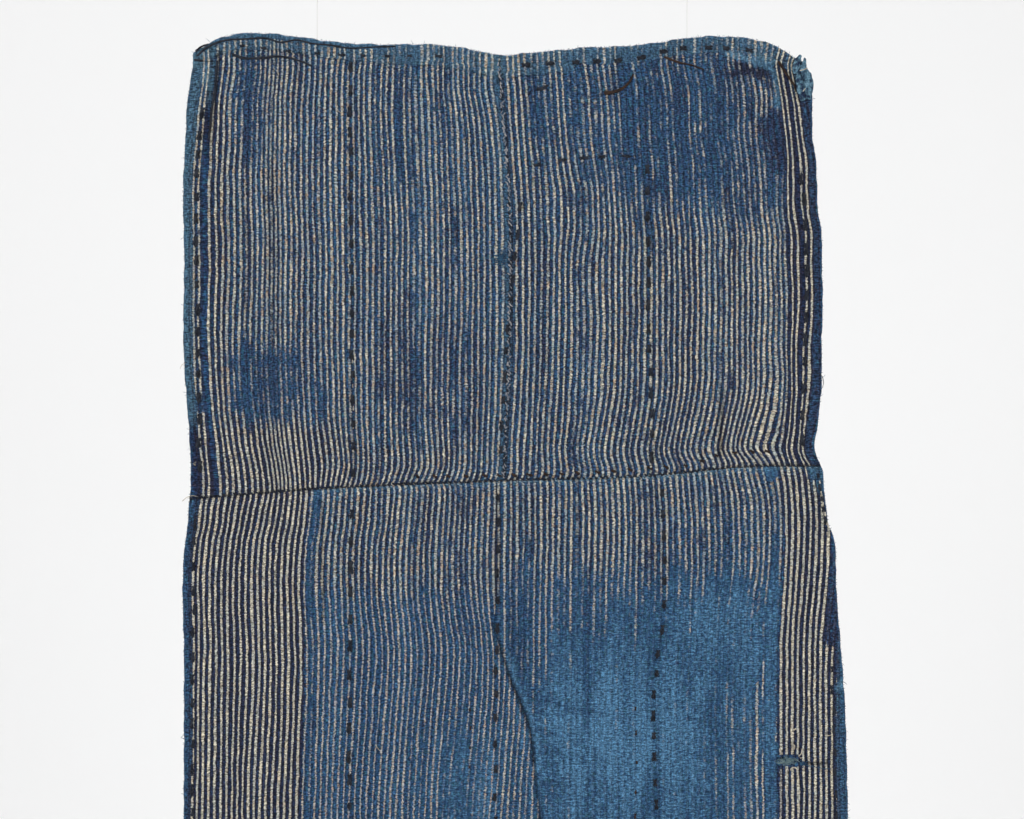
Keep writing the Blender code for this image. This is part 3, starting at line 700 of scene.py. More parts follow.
def add_panel(panel):
    across, height, away, hem = panel_lines(panel)
    thick = panel_thickness(panel, across, away, hem)
    depth = face_depth(across, height)
    fall = np.zeros_like(across)
    for side, from_side in away.items():
        radius = 0.0008 if side in panel.hems else 0.0009
        fall = np.maximum(fall, edge_round(from_side, radius))
    back_round = edge_round(np.minimum.reduce(list(away.values())), 0.0006)
    rows, columns = across.shape
    front = np.stack([across, depth + fall, height], axis=-1).reshape(-1, 3)
    behind = depth + np.maximum(thick - back_round, fall + 0.0004)
    back = np.stack([across, behind, height], axis=-1).reshape(-1, 3)
    index = np.arange(rows * columns).reshape(rows, columns)
    corners = [index[:-1, :-1], index[1:, :-1], index[1:, 1:], index[:-1, 1:]]
    quads = np.stack([corner.ravel() for corner in corners], axis=-1)
    rim = np.array(rim_of(index))
    ahead = np.roll(rim, -1)
    count = len(front)
    wall = np.stack([rim, ahead, ahead + count, rim + count], axis=-1)
    faces = np.concatenate([quads, quads[:, ::-1] + count, wall])
    obj = add_mesh(panel.name + "_cloth", np.concatenate([front, back]), faces.tolist())

    distance = lain_flat(panel, across, height)
    stripe = smooth_through(panel.stripes, distance)
    pitch = np.gradient(distance, axis=1) / np.gradient(stripe, axis=1)
    if "top" in panel.hems:
        folded = 1 - soft_step(away["top"], 0.0158, 0.0174)
        stripe = stripe + 0.30 * ripple(across, 0.090, 2) * folded * (across < 0.25)
    warp = np.tile(np.stack([stripe.ravel(), height.ravel()], axis=-1), (2, 1))
    set_map(obj.data, "Warp", warp[faces.ravel()])
    set_map(obj.data, "OFBake", bake_places(across, height, faces, rim))
    values = look_values(panel, across, height, away, distance)
    values["pitch"] = np.clip(pitch / PITCH, 0.4, 2.5)
    for name, value in values.items():
        layer = obj.data.attributes.new(name, "FLOAT", "POINT")
        layer.data.foreach_set("value", np.tile(value.ravel(), 2).astype(np.float32))
    return obj


def bake_places(across, height, faces, rim):
    """Face and back laid side by side, with the rim between them, inside one unit square."""
    wide = (across - across.min()) / np.ptp(across)
    tall = (height - height.min()) / np.ptp(height)
    tall = 0.01 + 0.98 * tall.ravel()
    face = np.stack([0.01 + 0.57 * wide.ravel(), tall], axis=-1)
    reverse = np.stack([0.62 + 0.37 * wide.ravel(), tall], axis=-1)
    places = np.concatenate([face, reverse])[faces]
    steps = np.arange(len(rim)) / len(rim)
    low = 0.01 + 0.98 * steps
    high = 0.01 + 0.98 * (steps + 1 / len(rim))
    strip = np.stack([
        np.stack([np.full_like(low, 0.59), low], axis=-1),
        np.stack([np.full_like(low, 0.59), high], axis=-1),
        np.stack([np.full_like(low, 0.61), high], axis=-1),
        np.stack([np.full_like(low, 0.61), low], axis=-1),
    ], axis=1)
    places[-len(rim):] = strip
    return places.reshape(-1, 2)


# ---------------------------------------------------------------------------------------------
# Materials.


class Nodes:
    """Builds one material's nodes, with short calls that give back the socket to use next."""

    def __init__(self, name):
        self.material = bpy.data.materials.new(name)
        self.material.use_nodes = True
        self.tree = self.material.node_tree
        self.shader = self.tree.nodes["Principled BSDF"]

    def put(self, socket, value):
        if isinstance(value, bpy.types.NodeSocket):
            self.tree.links.new(value, socket)
        else:
            socket.default_value = value

    def node(self, kind, inputs=(), **settings):
        """A new node with these settings, and a value or a socket for each of these inputs."""
        made = self.tree.nodes.new("ShaderNode" + kind)
        for name, setting in settings.items():
            setattr(made, name, setting)
        for name, value in dict(inputs).items():
            self.put(made.inputs[name], value)
        return made

    def map_value(self, name):
        uv = self.node("UVMap", uv_map=name).outputs[0]
        split = self.node("SeparateXYZ", {0: uv})
        return split.outputs["X"], split.outputs["Y"]

    def object_place(self):
        return self.node("TexCoord").outputs["Object"]

    def attribute(self, name):
        return self.node("Attribute", attribute_name=name).outputs["Fac"]

    def do(self, operation, *values):
        return self.node("Math", enumerate(values), operation=operation).outputs[0]

    def add(self, *terms):
        total = terms[0]
        for term in terms[1:]:
            total = self.do("ADD", total, term)
        return total

    def times(self, first, second):
        return self.do("MULTIPLY", first, second)

    def short_of_one(self, value):
        return self.do("SUBTRACT", 1.0, value)

    def swing(self, value, reach):
        """Turns a 0 to 1 value into one from -reach to reach."""
        return self.do("MULTIPLY_ADD", value, 2 * reach, -reach)

    def step(self, value, start, end, low=0.0, high=1.0):
        """A smooth step from low to high as the value goes from start to end."""
        inputs = {"Value": value, "From Min": start, "From Max": end,
                  "To Min": low, "To Max": high}
        return self.node("MapRange", inputs, interpolation_type="SMOOTHSTEP").outputs[0]

    def warp_noise(self, line, line_scale, along, along_scale, detail=1.0, roughness=0.5):
        """Noise with its own scale across the stripes and along them."""
        place = {0: self.times(line, line_scale), 1: self.times(along, along_scale)}
        inputs = {"Vector": self.node("CombineXYZ", place).outputs[0], "Scale": 1.0,
                  "Detail": detail, "Roughness": roughness}
        return self.node("TexNoise", inputs, noise_dimensions="2D").outputs["Fac"]

    def solid_noise(self, place, scale, detail=2.0):
        inputs = {"Vector": place, "Scale": scale, "Detail": detail}
        return self.node("TexNoise", inputs).outputs["Fac"]

    def chance(self, number):
        """Three random values, 0 to 1, that belong to a whole number."""
        noise = self.node("TexWhiteNoise", {"W": number}, noise_dimensions="1D")
        return self.node("SeparateColor", {0: noise.outputs["Color"]}).outputs[:3]

    def blend(self, share, first, second):
        ends = [(*end, 1) if isinstance(end, tuple) else end for end in (first, second)]
        inputs = {"Factor": share, "A": ends[0], "B": ends[1]}
        return self.node("Mix", inputs, data_type="RGBA").outputs["Result"]

    def scaled(self, colour, factor):
        return self.node("VectorMath", {0: colour, "Scale": factor}, operation="SCALE").outputs[0]

    def bump(self, height, distance):
        inputs = {"Distance": distance, "Strength": 1.0, "Height": height}
        return self.node("Bump", inputs).outputs[0]

    def finish(self, colour, roughness, normal=None, sheen=0.0, specular=0.2):
        self.put(self.shader.inputs["Base Color"], colour)
        self.put(self.shader.inputs["Roughness"], roughness)
        self.shader.inputs["Specular IOR Level"].default_value = specular
        self.shader.inputs["Sheen Weight"].default_value = sheen
        if normal is not None:
            self.tree.links.new(normal, self.shader.inputs["Normal"])
        return self.material


STRIPE_HALF = 0.183  # half a light stripe's width, as a share of a stripe and its ground
WEFT = 0.00115  # two weft threads
WARPS = 6.0  # pairs of warp threads in a stripe and its ground
WEAVE_RELIEF = 0.00035

CREAM = (0.730, 0.665, 0.515)
GREY_BLUE = (0.300, 0.385, 0.430)
TAN = (0.470, 0.320, 0.200)
PINK_GREY = (0.350, 0.300, 0.330)
OLIVE_GREY = (0.340, 0.390, 0.300)
DEEP_INDIGO = (0.0120, 0.0215, 0.0560)
DARK_WARP = (0.0190, 0.0170, 0.0330)
PURPLE_BLACK = (0.0240, 0.0225, 0.0440)
NAVY = (0.0140, 0.0310, 0.0830)
MID_INDIGO = (0.0200, 0.0680, 0.1600)
TEAL_INDIGO = (0.0230, 0.0920, 0.1450)
PALE_INDIGO = (0.0850, 0.2250, 0.3900)
GREY_TEAL = (0.0700, 0.1450, 0.2050)
FADED_TEAL = (0.1500, 0.2700, 0.3600)


def stripe_colour(n, stripe, along, fresh, thin, warmth):
    """The light stripes: cream where fresh, and mottled blue-grey, tan and pink where worn."""
    faded = n.short_of_one(n.times(fresh, 0.55))
    cool = n.warp_noise(stripe, 3.17, along, 75, 4, 0.7)
    warm = n.warp_noise(stripe, 5.71, along, 110, 3, 0.7)
    green = n.warp_noise(stripe, 7.93, along, 160, 2)
    cool = n.add(cool, n.swing(warmth, 0.07))
    colour = n.blend(n.times(n.step(cool, 0.36, 0.62, 0.15, 1.0), faded), CREAM, GREY_BLUE)
    colour = n.blend(n.times(n.step(warm, 0.50, 0.68, 0.0, 0.85), faded), colour, TAN)
    colour = n.blend(n.times(n.step(warm, 0.46, 0.32, 0.0, 0.7), faded), colour, PINK_GREY)
    colour = n.blend(n.times(n.step(green, 0.55, 0.72, 0.0, 0.6), faded), colour, OLIVE_GREY)
    return n.blend(n.times(thin, 0.55), colour, PINK_GREY)


def ground_colour(n, line, along, wear, fresh, grey, chance):
    """The indigo ground, from near-black where fresh to pale blue where it is rubbed."""
    patchy = n.warp_noise(line, 0.33, along, 17, 3)
    mottle = n.warp_noise(line, 3.1, along, 150, 3, 0.7)
    weft = n.warp_noise(line, 0.9, along, 620, 2, 0.7)
    hue = n.warp_noise(line, 1.7, along, 190, 3, 0.7)
    worn = n.add(wear, n.swing(patchy, 0.22), n.swing(chance, 0.06), n.times(fresh, -0.20),
                 n.swing(mottle, 0.40), n.times(n.swing(weft, 1.0), wear))
    colour = n.blend(n.step(worn, -0.06, 0.20), DEEP_INDIGO, NAVY)
    colour = n.blend(n.step(worn, 0.14, 0.52), colour, MID_INDIGO)
    teal = n.times(n.step(hue, 0.50, 0.66), n.step(worn, 0.05, 0.40))
    colour = n.blend(teal, colour, TEAL_INDIGO)
    colour = n.blend(n.step(worn, 0.50, 1.15), colour, PALE_INDIGO)
    colour = n.blend(n.times(n.step(hue, 0.46, 0.34), n.step(worn, 0.45, 0.05)), colour,
                     PURPLE_BLACK)
    return n.blend(n.times(grey, n.step(mottle, 0.36, 0.60, 0.40, 1.0)), colour, GREY_TEAL)


def striped_cloth(panel):
    n = Nodes(panel.slot)
    across, along = n.map_value("Warp")
    stripes, wear, fresh, thin, shade, pitch, grey = map(
        n.attribute, ("stripes", "wear", "fresh", "thin", "shade", "pitch", "grey"))

    slow = n.warp_noise(across, 0.11, along, 8, 2)
    quick = n.warp_noise(across, 0.9, along, 40, 2)
    line = n.add(across, n.swing(slow, 0.38), n.swing(quick, 0.16), panel.seed * 10)
    stripe = n.do("FLOOR", line)
    within = n.do("SUBTRACT", line, stripe)
    chance = n.chance(stripe)

    fray = n.warp_noise(line, 2.2, along, 560, 2, 0.8)
    frayed = n.times(n.swing(fray, 0.30), n.step(fresh, 0.0, 1.0, 1.0, 0.60))
    half = n.add(STRIPE_HALF, n.swing(chance[0], 0.028), n.times(thin, -0.085),
                 n.times(fresh, -0.004), frayed)
    from_middle = n.times(n.do("ABSOLUTE", n.do("SUBTRACT", within, 0.5)), pitch)
    band = n.step(n.do("SUBTRACT", half, from_middle), -0.05, 0.05)

    lasting = n.warp_noise(stripe, 2.37, along, 24, 5, 0.65)
    rubbed = n.warp_noise(stripe, 4.19, along, 105, 2, 0.6)
    left = n.add(stripes, n.swing(chance[1], 0.30), n.swing(lasting, 0.62), n.swing(fray, 0.22),
                 n.swing(rubbed, 0.40))
    shown = n.step(left, 0.34, 0.86, 0.04, 1.0)
    first = n.do("GREATER_THAN", stripe, panel.first + panel.seed * 10 - 0.5)
    last = n.do("LESS_THAN", stripe, panel.last + panel.seed * 10 + 0.5)
    band = n.times(n.times(band, shown), n.times(first, last))

    light = stripe_colour(n, stripe, along, fresh, thin, chance[2])
    ground = ground_colour(n, line, along, wear, fresh, grey, chance[0])
    side = n.times(n.step(within, 0.58, 0.74), n.step(within, 1.0, 0.88))
    ground = n.blend(n.times(side, n.step(wear, 0.60, 0.20, 0.25, 0.75)), n.scaled(ground, 1.16),
                     DARK_WARP)
    points = n.warp_noise(line, 1.9, along, 600, 2, 0.8)
    upright = n.warp_noise(line, 6.3, along, 120, 2, 0.7)
    grain = n.times(n.step(points, 0.36, 0.66, 0.34, 1.78),
                    n.step(upright, 0.35, 0.65, 0.70, 1.30))
    soft_grain = n.step(points, 0.36, 0.64, 0.40, 1.50)
    calm = n.step(wear, 0.35, 0.62, 0.0, 0.38)
    grain = n.add(n.times(grain, n.short_of_one(calm)), n.times(calm, 0.74))
    colour = n.blend(band, n.scaled(ground, grain), n.scaled(light, soft_grain))
    # The shade attribute darkens the colour with painted shade and shadow, and below 0 lightens it
    # with a painted highlight.
    colour = n.scaled(colour, n.short_of_one(shade))

    cross = n.do("SINE", n.times(along, 2 * math.pi / WEFT))
    over = n.do("SINE", n.times(line, 2 * math.pi * WARPS))
    weave = n.add(n.times(n.times(cross, over), 0.5), n.times(grain, 0.6), n.times(band, 0.6))
    normal = n.bump(weave, WEAVE_RELIEF)
    return n.finish(colour, n.step(grain, 0.4, 1.8, 0.98, 0.84), normal, sheen=0.05)


# ---------------------------------------------------------------------------------------------
# Camera and hanging threads.


LENS = 100
SEEN_WIDE = 1.024  # width of the view where the cloth hangs
LOOKS_AT = (0.012, -0.3545)


def add_camera():
    """Square on to the cloth, as far down as just above its lower third."""
    data = bpy.data.cameras.new("camera")
    data.lens = LENS
    data.sensor_width = 36
    camera = bpy.data.objects.new("camera", data)
    camera.location = (LOOKS_AT[0], -SEEN_WIDE * LENS / data.sensor_width, LOOKS_AT[1])
    camera.rotation_euler = (math.radians(90), 0, 0)
    bpy.context.scene.collection.objects.link(camera)
    bpy.context.scene.camera = camera


def run_of(points):
    """How far along a line of points each of them is."""
    return np.concatenate([[0], np.cumsum(np.linalg.norm(np.diff(points, axis=0), axis=1))])


def thread_line(across, step):
    """Evenly spaced points on the smooth curve through a hanging thread's route."""
    leaves = smooth_through(TOP_EDGE, np.array([across]))[0]
    hem_back = solid_depth(np.array([across]), np.array([leaves - 0.006]))[0] + CLOTH + HEM_EXTRA
    behind = hem_back + THREAD_CLEAR + THREAD / 2
    route = np.array([
        (across + point.across, behind + point.back, leaves + point.up) for point in THREAD_ROUTE
    ])
    so_far = run_of(route)
    fine = np.linspace(0, so_far[-1], 600)
    curve = np.stack(
        [smooth_through(list(zip(so_far, route[:, axis])), fine) for axis in range(3)], axis=-1
    )
    run = run_of(curve)
    even = np.linspace(0, run[-1], round(run[-1] / step) + 1)
    points = np.stack([np.interp(even, run, curve[:, axis]) for axis in range(3)], axis=-1)
    return points, run[-1], (across, behind, leaves)


def hanging_material():
    n = Nodes("hanging_thread")
    place = n.node("SeparateXYZ", {0: n.object_place()}).outputs
    twist = n.do("SINE", n.add(n.times(place["Z"], TWIST), n.times(place["X"], TWIST)))
    colour = n.blend(n.step(twist, -1.0, 1.0), (0.70, 0.69, 0.66), (0.86, 0.85, 0.82))
    return n.finish(colour, 0.42, n.bump(twist, 0.00005), specular=0.35)


def add_hanging_threads():
    material = hanging_material()
    for node, across in THREAD_PLACES.items():
        points, length, exit_point = thread_line(across, 0.0007)
        curve = bpy.data.curves.new(node + "_cord", "CURVE")
        curve.dimensions = "3D"
        curve.bevel_depth = THREAD / 2
        curve.bevel_resolution = 2
        curve.use_fill_caps = True
        spline = curve.splines.new("POLY")
        spline.points.add(len(points) - 1)
        for point, place in zip(spline.points, points):
            point.co = (*place, 1)
        cord = bpy.data.objects.new(node + "_cord", curve)
        bpy.context.scene.collection.objects.link(cord)
        curve.materials.append(material)
        knot = add_knot(node + "_knot", Vector(points[-1]), across)
        knot.data.materials.append(material)
        for piece in (cord, knot):
            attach(piece, "root")
        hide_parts(node)


def add_knot(name, end, across):
    """Two turns of the thread's tail round its standing part, under the loop."""
    middle = Vector((across, end.y - 0.0002, end.z + 0.0022))
    turns = np.linspace(0, 2 * np.pi * 2.5, 60)
    path = [
        middle + Vector((
            0.00062 * math.cos(turn) + 0.0004,
            0.00062 * math.sin(turn),
            0.0016 * (turn / turns[-1] - 0.5),
        ))
        for turn in turns
    ]
    return tubes(name, [(path, THREAD / 2, 1.0)])


# ---------------------------------------------------------------------------------------------
# Stitches and loose threads, as joined small tubes.


def bulge(share):
    """Rises steeply from 0 to 1 and falls back, as share goes from 0 to 1."""
    return np.sin(math.pi * share).clip(0) ** 0.45


def tubes(name, strands, sides=6):
    """One mesh of many thin strands, each of points, a radius and how round it is, 0 to 1."""
    turns = np.arange(sides) * 2 * math.pi / sides
    points, faces = [], []
    start = 0
    for path, radius, roundness in strands:
        path = np.asarray(path, float)
        ahead = np.gradient(path, axis=0)
        ahead /= np.linalg.norm(ahead, axis=1, keepdims=True) + 1e-12
        steep = np.abs(ahead[:, 1:2]) > 0.9
        up = np.where(steep, [[0.3, 0.0, 0.95]], [[0.05, -0.98, 0.11]])
        out = np.cross(ahead, up)
        out /= np.linalg.norm(out, axis=1, keepdims=True)
        up = np.cross(out, ahead)
        reach = np.full(len(path), 1.0) * radius
        reach[[0, -1]] *= 0.5
        offset = out[:, None] * np.cos(turns)[:, None]
        offset = offset + up[:, None] * np.sin(turns)[:, None] * roundness
        points.append((path[:, None] + offset * reach[:, None, None]).reshape(-1, 3))
        ring = start + np.arange(len(path) * sides).reshape(-1, sides)
        ahead_ring = np.roll(ring, -1, axis=1)
        quads = np.stack([ring[:-1], ahead_ring[:-1], ahead_ring[1:], ring[1:]], axis=-1)
        faces += quads.reshape(-1, 4).tolist()
        faces += [ring[0, ::-1].tolist(), ring[-1].tolist()]
        start += ring.size
    return add_mesh(name, np.concatenate(points), faces)


def laid_on_face(strands):
    """Turns strands of (across, height, lift) rows into strands of points on the cloth."""
    rows = np.concatenate([np.asarray(strand[0], float) for strand in strands])
    depth = face_depth(rows[:, 0], rows[:, 1])
    points = np.stack([rows[:, 0], depth - rows[:, 2], rows[:, 1]], axis=-1)
    ends = np.cumsum([len(strand[0]) for strand in strands])[:-1]
    return [
        (place, strand[1], strand[2] if len(strand) > 2 else 1.0)
        for place, strand in zip(np.split(points, ends), strands)
    ]


def evenly(route, step):
    """Evenly spaced points on the smooth curve through a route of places."""
    route = np.array(route, float)
    so_far = run_of(route)
    count = max(2, round(so_far[-1] / step) + 1)
    even = np.linspace(0, so_far[-1], count)
    axes = [smooth_through(list(zip(so_far, axis)), even) for axis in route.T]
    return np.stack(axes, axis=-1)


ROW_STEP = 0.0005  # how closely a row's route is followed


def stitch_path(head, foot, lift, sink=0.0012, points=9):
    """A stitch lies on the face between two places, and dives into the cloth at both ends."""
    share = np.linspace(0, 1, points)
    proud = bulge(share)
    return np.stack([
        head[0] + share * (foot[0] - head[0]),
        head[1] + share * (foot[1] - head[1]),
        lift * proud - sink * (1 - proud),
    ], axis=-1)


def twisted_pair(path, spread, turns):
    """Two strands that turn about each other along a path over the face."""
    ahead = path[-1, :2] - path[0, :2]
    ahead = ahead / np.hypot(*ahead)
    turn = math.pi * turns * np.linspace(0, 1, len(path))
    aside = np.cos(turn) * spread
    offset = np.stack([-ahead[1] * aside, ahead[0] * aside, np.sin(turn) * spread * 0.6], axis=-1)
    return [path + offset, path - offset]


def stitches_of(row, chooser):
    """The strands of one row of stitches: doubled thread, uneven in length and place."""
    points = evenly(row.route, ROW_STEP)
    total = (len(points) - 1) * ROW_STEP
    strands = []
    at = chooser.uniform(0, 0.2) * row.step
    while at + row.stitch < total:
        length = row.stitch * chooser.uniform(0.70, 1.20)
        head = points[int(at / ROW_STEP)]
        foot = points[min(int((at + length) / ROW_STEP), len(points) - 1)]
        loose = min(1.0, row.radius / 0.0008)
        across = chooser.uniform(-0.0008, 0.0008) * loose
        lean = row.lean + chooser.uniform(-0.0009, 0.0009) * loose
        path = stitch_path((head[0] + across, head[1] - lean / 2),
                           (foot[0] + across + lean * 0.3, foot[1] + lean / 2), row.radius * 0.7)
        for strand in twisted_pair(path, row.radius * 0.85, chooser.uniform(0.9, 1.8)):
            strands.append((strand, row.radius * chooser.uniform(0.65, 0.90)))
        at += row.step * chooser.uniform(0.84, 1.16)
    return strands


def back_stitches_of(row, chooser):
    """The same thread where it passes behind the cloth between the stitches of a row."""
    points = evenly(row.route, ROW_STEP)
    strands = []
    at = row.stitch * 1.3
    while at + row.step - row.stitch < (len(points) - 1) * ROW_STEP:
        head = points[int(at / ROW_STEP)]
        foot = points[int((at + row.step - row.stitch * 1.4) / ROW_STEP)]
        path = stitch_path(head, foot, 0.0)
        path[:, 2] = -CLOTH * 0.9 - 0.0016 * bulge(np.linspace(0, 1, len(path)))
        strands.append((path, row.radius * 1.05))
        at += row.step * chooser.uniform(0.9, 1.1)
    return strands


def whip_stitches(chooser):
    """Small slanting stitches over the upper centre seam, in grey and dark thread by turns."""
    grey, dark = [], []
    height = -0.006
    while height > -0.422:
        middle = edge_place(UPPER_SEAM, np.array([height]))[0] - 0.0004
        middle += chooser.uniform(-0.0014, 0.0014)
        half = chooser.uniform(0.0004, 0.0016)
        rise = chooser.uniform(0.0008, 0.0022)
        if chooser.random() < 0.30:
            half = -half
        path = stitch_path((middle - half, height + rise), (middle + half, height - rise),
                           0.0006, sink=0.0006, points=6)
        chosen = dark if chooser.random() < 0.36 else grey
        chosen.append((path, chooser.uniform(0.00040, 0.00075)))
        height -= chooser.uniform(0.0009, 0.0022)
    return grey, dark


def seam_notches(chooser):
    """Along the cross seam: dark thread in the gaps between the stripes, and paler bits below."""
    dark, pale = [], []
    across = -0.308
    while across < 0.314:
        seam = smooth_through(CROSS_SEAM, np.array([across]))[0]
        reach = chooser.uniform(0.0026, 0.0040)
        rise = chooser.uniform(0.0010, 0.0028)
        path = stitch_path((across - reach / 2, seam + rise), (across + reach / 2, seam - 0.0004),
                           0.0007, sink=0.0004, points=6)
        dark.append((path, chooser.uniform(0.00075, 0.00110)))
        if across > -0.170 and chooser.random() < 0.65:
            head = (across + 0.3 * reach, seam - 0.0010)
            foot = (across + 1.2 * reach, seam - 0.0018)
            path = stitch_path(head, foot, 0.0002, sink=0.0006, points=5)
            pale.append((path, chooser.uniform(0.00045, 0.00070)))
        across += 0.0053 * chooser.uniform(0.80, 1.20)
    return dark, pale


# Loose threads that lie on the cloth, by route of (across, height) places.
Loose = namedtuple("Loose", "name thread radius taper lift route")
LOOSE_THREADS = listed(Loose,
    ("corner_left", "dark", 0.0014, 0.3, 0.0009, [(-0.268, 0.001), (-0.26, -0.002),
     (-0.238, -0.003), (-0.22, -0.0015), (-0.2, -0.006), (-0.188, -0.011)]),
    ("under_band", "dark", 0.0011, 0.35, 0.0004, [(-0.303, -0.001), (-0.2985, 0.0035),
     (-0.292, 0.0085), (-0.279, 0.014), (-0.255, 0.0162), (-0.231, 0.016), (-0.221, 0.0128),
     (-0.202, 0.015), (-0.19, 0.0118), (-0.169, 0.0096), (-0.149, 0.0068), (-0.13, 0.0078),
     (-0.104, 0.0085)]),
    ("corner_slit", "dark", 0.0013, 0.3, 0.0004, [(-0.306, -0.0045), (-0.301, -0.0052),
     (-0.2965, -0.006)]),
    ("corner_turn", "dark", 0.0012, 0.3, 0.001, [(-0.3045, 0.0035), (-0.2985, 0.0085),
     (-0.2915, 0.0112)]),
    ("hem_fold", "dark", 0.0013, 0.3, 0.0004, [(-0.283, -0.005), (-0.285, -0.03), (-0.2895, -0.06),
     (-0.2915, -0.084)]),
    ("short_dark", "dark", 0.0019, 0.3, 0.0008, [(0.0365, -0.034), (0.043, -0.0335),
     (0.0485, -0.03)]),
    ("curved_brown", "brown", 0.0021, 0.6, 0.0012, [(0.104, -0.0382), (0.113, -0.0372),
     (0.123, -0.033), (0.13, -0.026), (0.1335, -0.019)]),
    ("long_brown", "brown", 0.0012, 0.4, 0.0007, [(0.164, -0.002), (0.18, -0.008),
     (0.191, -0.0105), (0.204, -0.015)]),
    ("corner_brown", "brown", 0.0014, 0.4, 0.0014, [(0.278, -0.006), (0.286, -0.0186),
     (0.2905, -0.025), (0.2934, -0.029), (0.2965, -0.037)]),
    ("pale_bit", "pale", 0.0003, 0.3, 0.0006, [(-0.164, -0.051), (-0.1615, -0.056),
     (-0.159, -0.058)]),
    ("pale_bit_low", "pale", 0.0003, 0.3, 0.0006, [(-0.125, -0.69), (-0.122, -0.694),
     (-0.119, -0.6975)]),
    ("loop_left", "pale", 0.0004, 0.3, 0.0008, [(-0.317, -0.446), (-0.312, -0.442),
     (-0.306, -0.4405), (-0.302, -0.4415)]),
    ("edge_left", "pale", 0.0003, 0.3, 0.0006, [(-0.314, -0.308), (-0.3175, -0.31),
     (-0.3195, -0.314)]),
    ("edge_right", "dark", 0.0004, 0.3, 0.0006, [(0.317, -0.318), (0.3215, -0.3205),
     (0.3235, -0.326), (0.3225, -0.333)]),
    ("slit_thread", "blue", 0.0004, 0.3, 0.0006, [(0.301, -0.709), (0.312, -0.711),
     (0.322, -0.7128), (0.331, -0.713)]),
    ("hem_stitch", "pale", 0.0006, 0.3, 0.0006, [(0.3245, -0.6795), (0.3275, -0.6802),
     (0.3305, -0.6798)]),
    ("slit_loop", "pale", 0.0008, 0.3, 0.0005, [(0.2905, -0.715), (0.291, -0.7128),
     (0.2935, -0.712), (0.296, -0.713), (0.2966, -0.715)]),
    ("curl_1", "pale", 0.0008, 0.3, 0.0006, [(0.2795, -0.694), (0.28, -0.697), (0.2822, -0.6985)]),
    ("curl_2", "pale", 0.0008, 0.3, 0.0006, [(0.2857, -0.694), (0.286, -0.6972)]),
    ("curl_3", "pale", 0.0009, 0.3, 0.0009, [(0.291, -0.688), (0.294, -0.6905), (0.2935, -0.6935),
     (0.291, -0.696)]),
    ("curl_4", "pale", 0.0008, 0.3, 0.0006, [(0.302, -0.693), (0.301, -0.698), (0.298, -0.701)]),
    ("stripe_tangle", "pale", 0.0009, 0.3, 0.0008, [(0.2915, -0.67), (0.293, -0.6745),
     (0.296, -0.673)]),
    ("knot_tail", "pale", 0.0006, 0.3, 0.004, [(0.2995, -0.016), (0.3035, -0.015),
     (0.307, -0.0135)]),
    ("knot_tail_low", "pale", 0.0005, 0.3, 0.004, [(0.3025, -0.037), (0.306, -0.0325),
     (0.3105, -0.0285)]))

# Small tufts of fibre caught on the cloth.
Tuft = namedtuple("Tuft", "thread across height wide tall count radius")
TUFTS = listed(Tuft,
    ("pale", -0.305, -0.409, 0.0022, 0.0016, 10, 0.00022),
    ("pale", -0.3095, -0.442, 0.002, 0.0014, 7, 0.00018),
    ("pale", -0.151, -0.569, 0.0012, 0.004, 9, 0.00024),
    ("pale", -0.001, -0.004, 0.0016, 0.0014, 10, 0.00026),
    ("pale", -0.014, -0.008, 0.0014, 0.0008, 5, 0.00024),
    ("pale", 0.315, -0.677, 0.001, 0.001, 6, 0.00022),
    ("pale", 0.325, -0.723, 0.001, 0.001, 6, 0.00022),
    ("pale", 0.3, -0.702, 0.0012, 0.0012, 7, 0.00026),
    ("pale", 0.268, -0.644, 0.0008, 0.0012, 5, 0.0002),
    ("pale", 0.2965, -0.04, 0.001, 0.001, 4, 0.00022),
    ("blue", 0.0, -0.205, 0.006, 0.0055, 60, 0.00042),
    ("blue", 0.002, -0.201, 0.004, 0.003, 24, 0.00042),
    ("teal", 0.2865, -0.706, 0.009, 0.0017, 56, 0.00022),
    ("teal", 0.29, -0.704, 0.006, 0.0022, 30, 0.00024),
    ("blue", 0.302, -0.708, 0.0042, 0.0032, 30, 0.0004),
    ("dark", 0.3, -0.01, 0.005, 0.005, 30, 0.0003))


def tuft_strands(tuft, chooser):
    strands = []
    share = np.linspace(-1, 1, 5)
    for _ in range(tuft.count):
        across = chooser.gauss(tuft.across, tuft.wide / 2)
        height = chooser.gauss(tuft.height, tuft.tall / 2)
        turn = chooser.uniform(-0.9, 0.9) + chooser.choice([0, math.pi])
        reach = chooser.uniform(0.3, 0.8) * tuft.wide
        swing = chooser.uniform(-0.5, 0.5) * reach * (1 - share**2)
        lift = chooser.uniform(0.0001, 0.0012)
        path = np.stack([
            across + share * reach / 2 * math.cos(turn) - swing * math.sin(turn),
            height + share * reach / 2 * math.sin(turn) * 0.6 + swing * math.cos(turn),
            lift * (1.2 - np.abs(share)),
        ], axis=-1)
        strands.append((path, tuft.radius * chooser.uniform(0.7, 1.2)))
    return strands


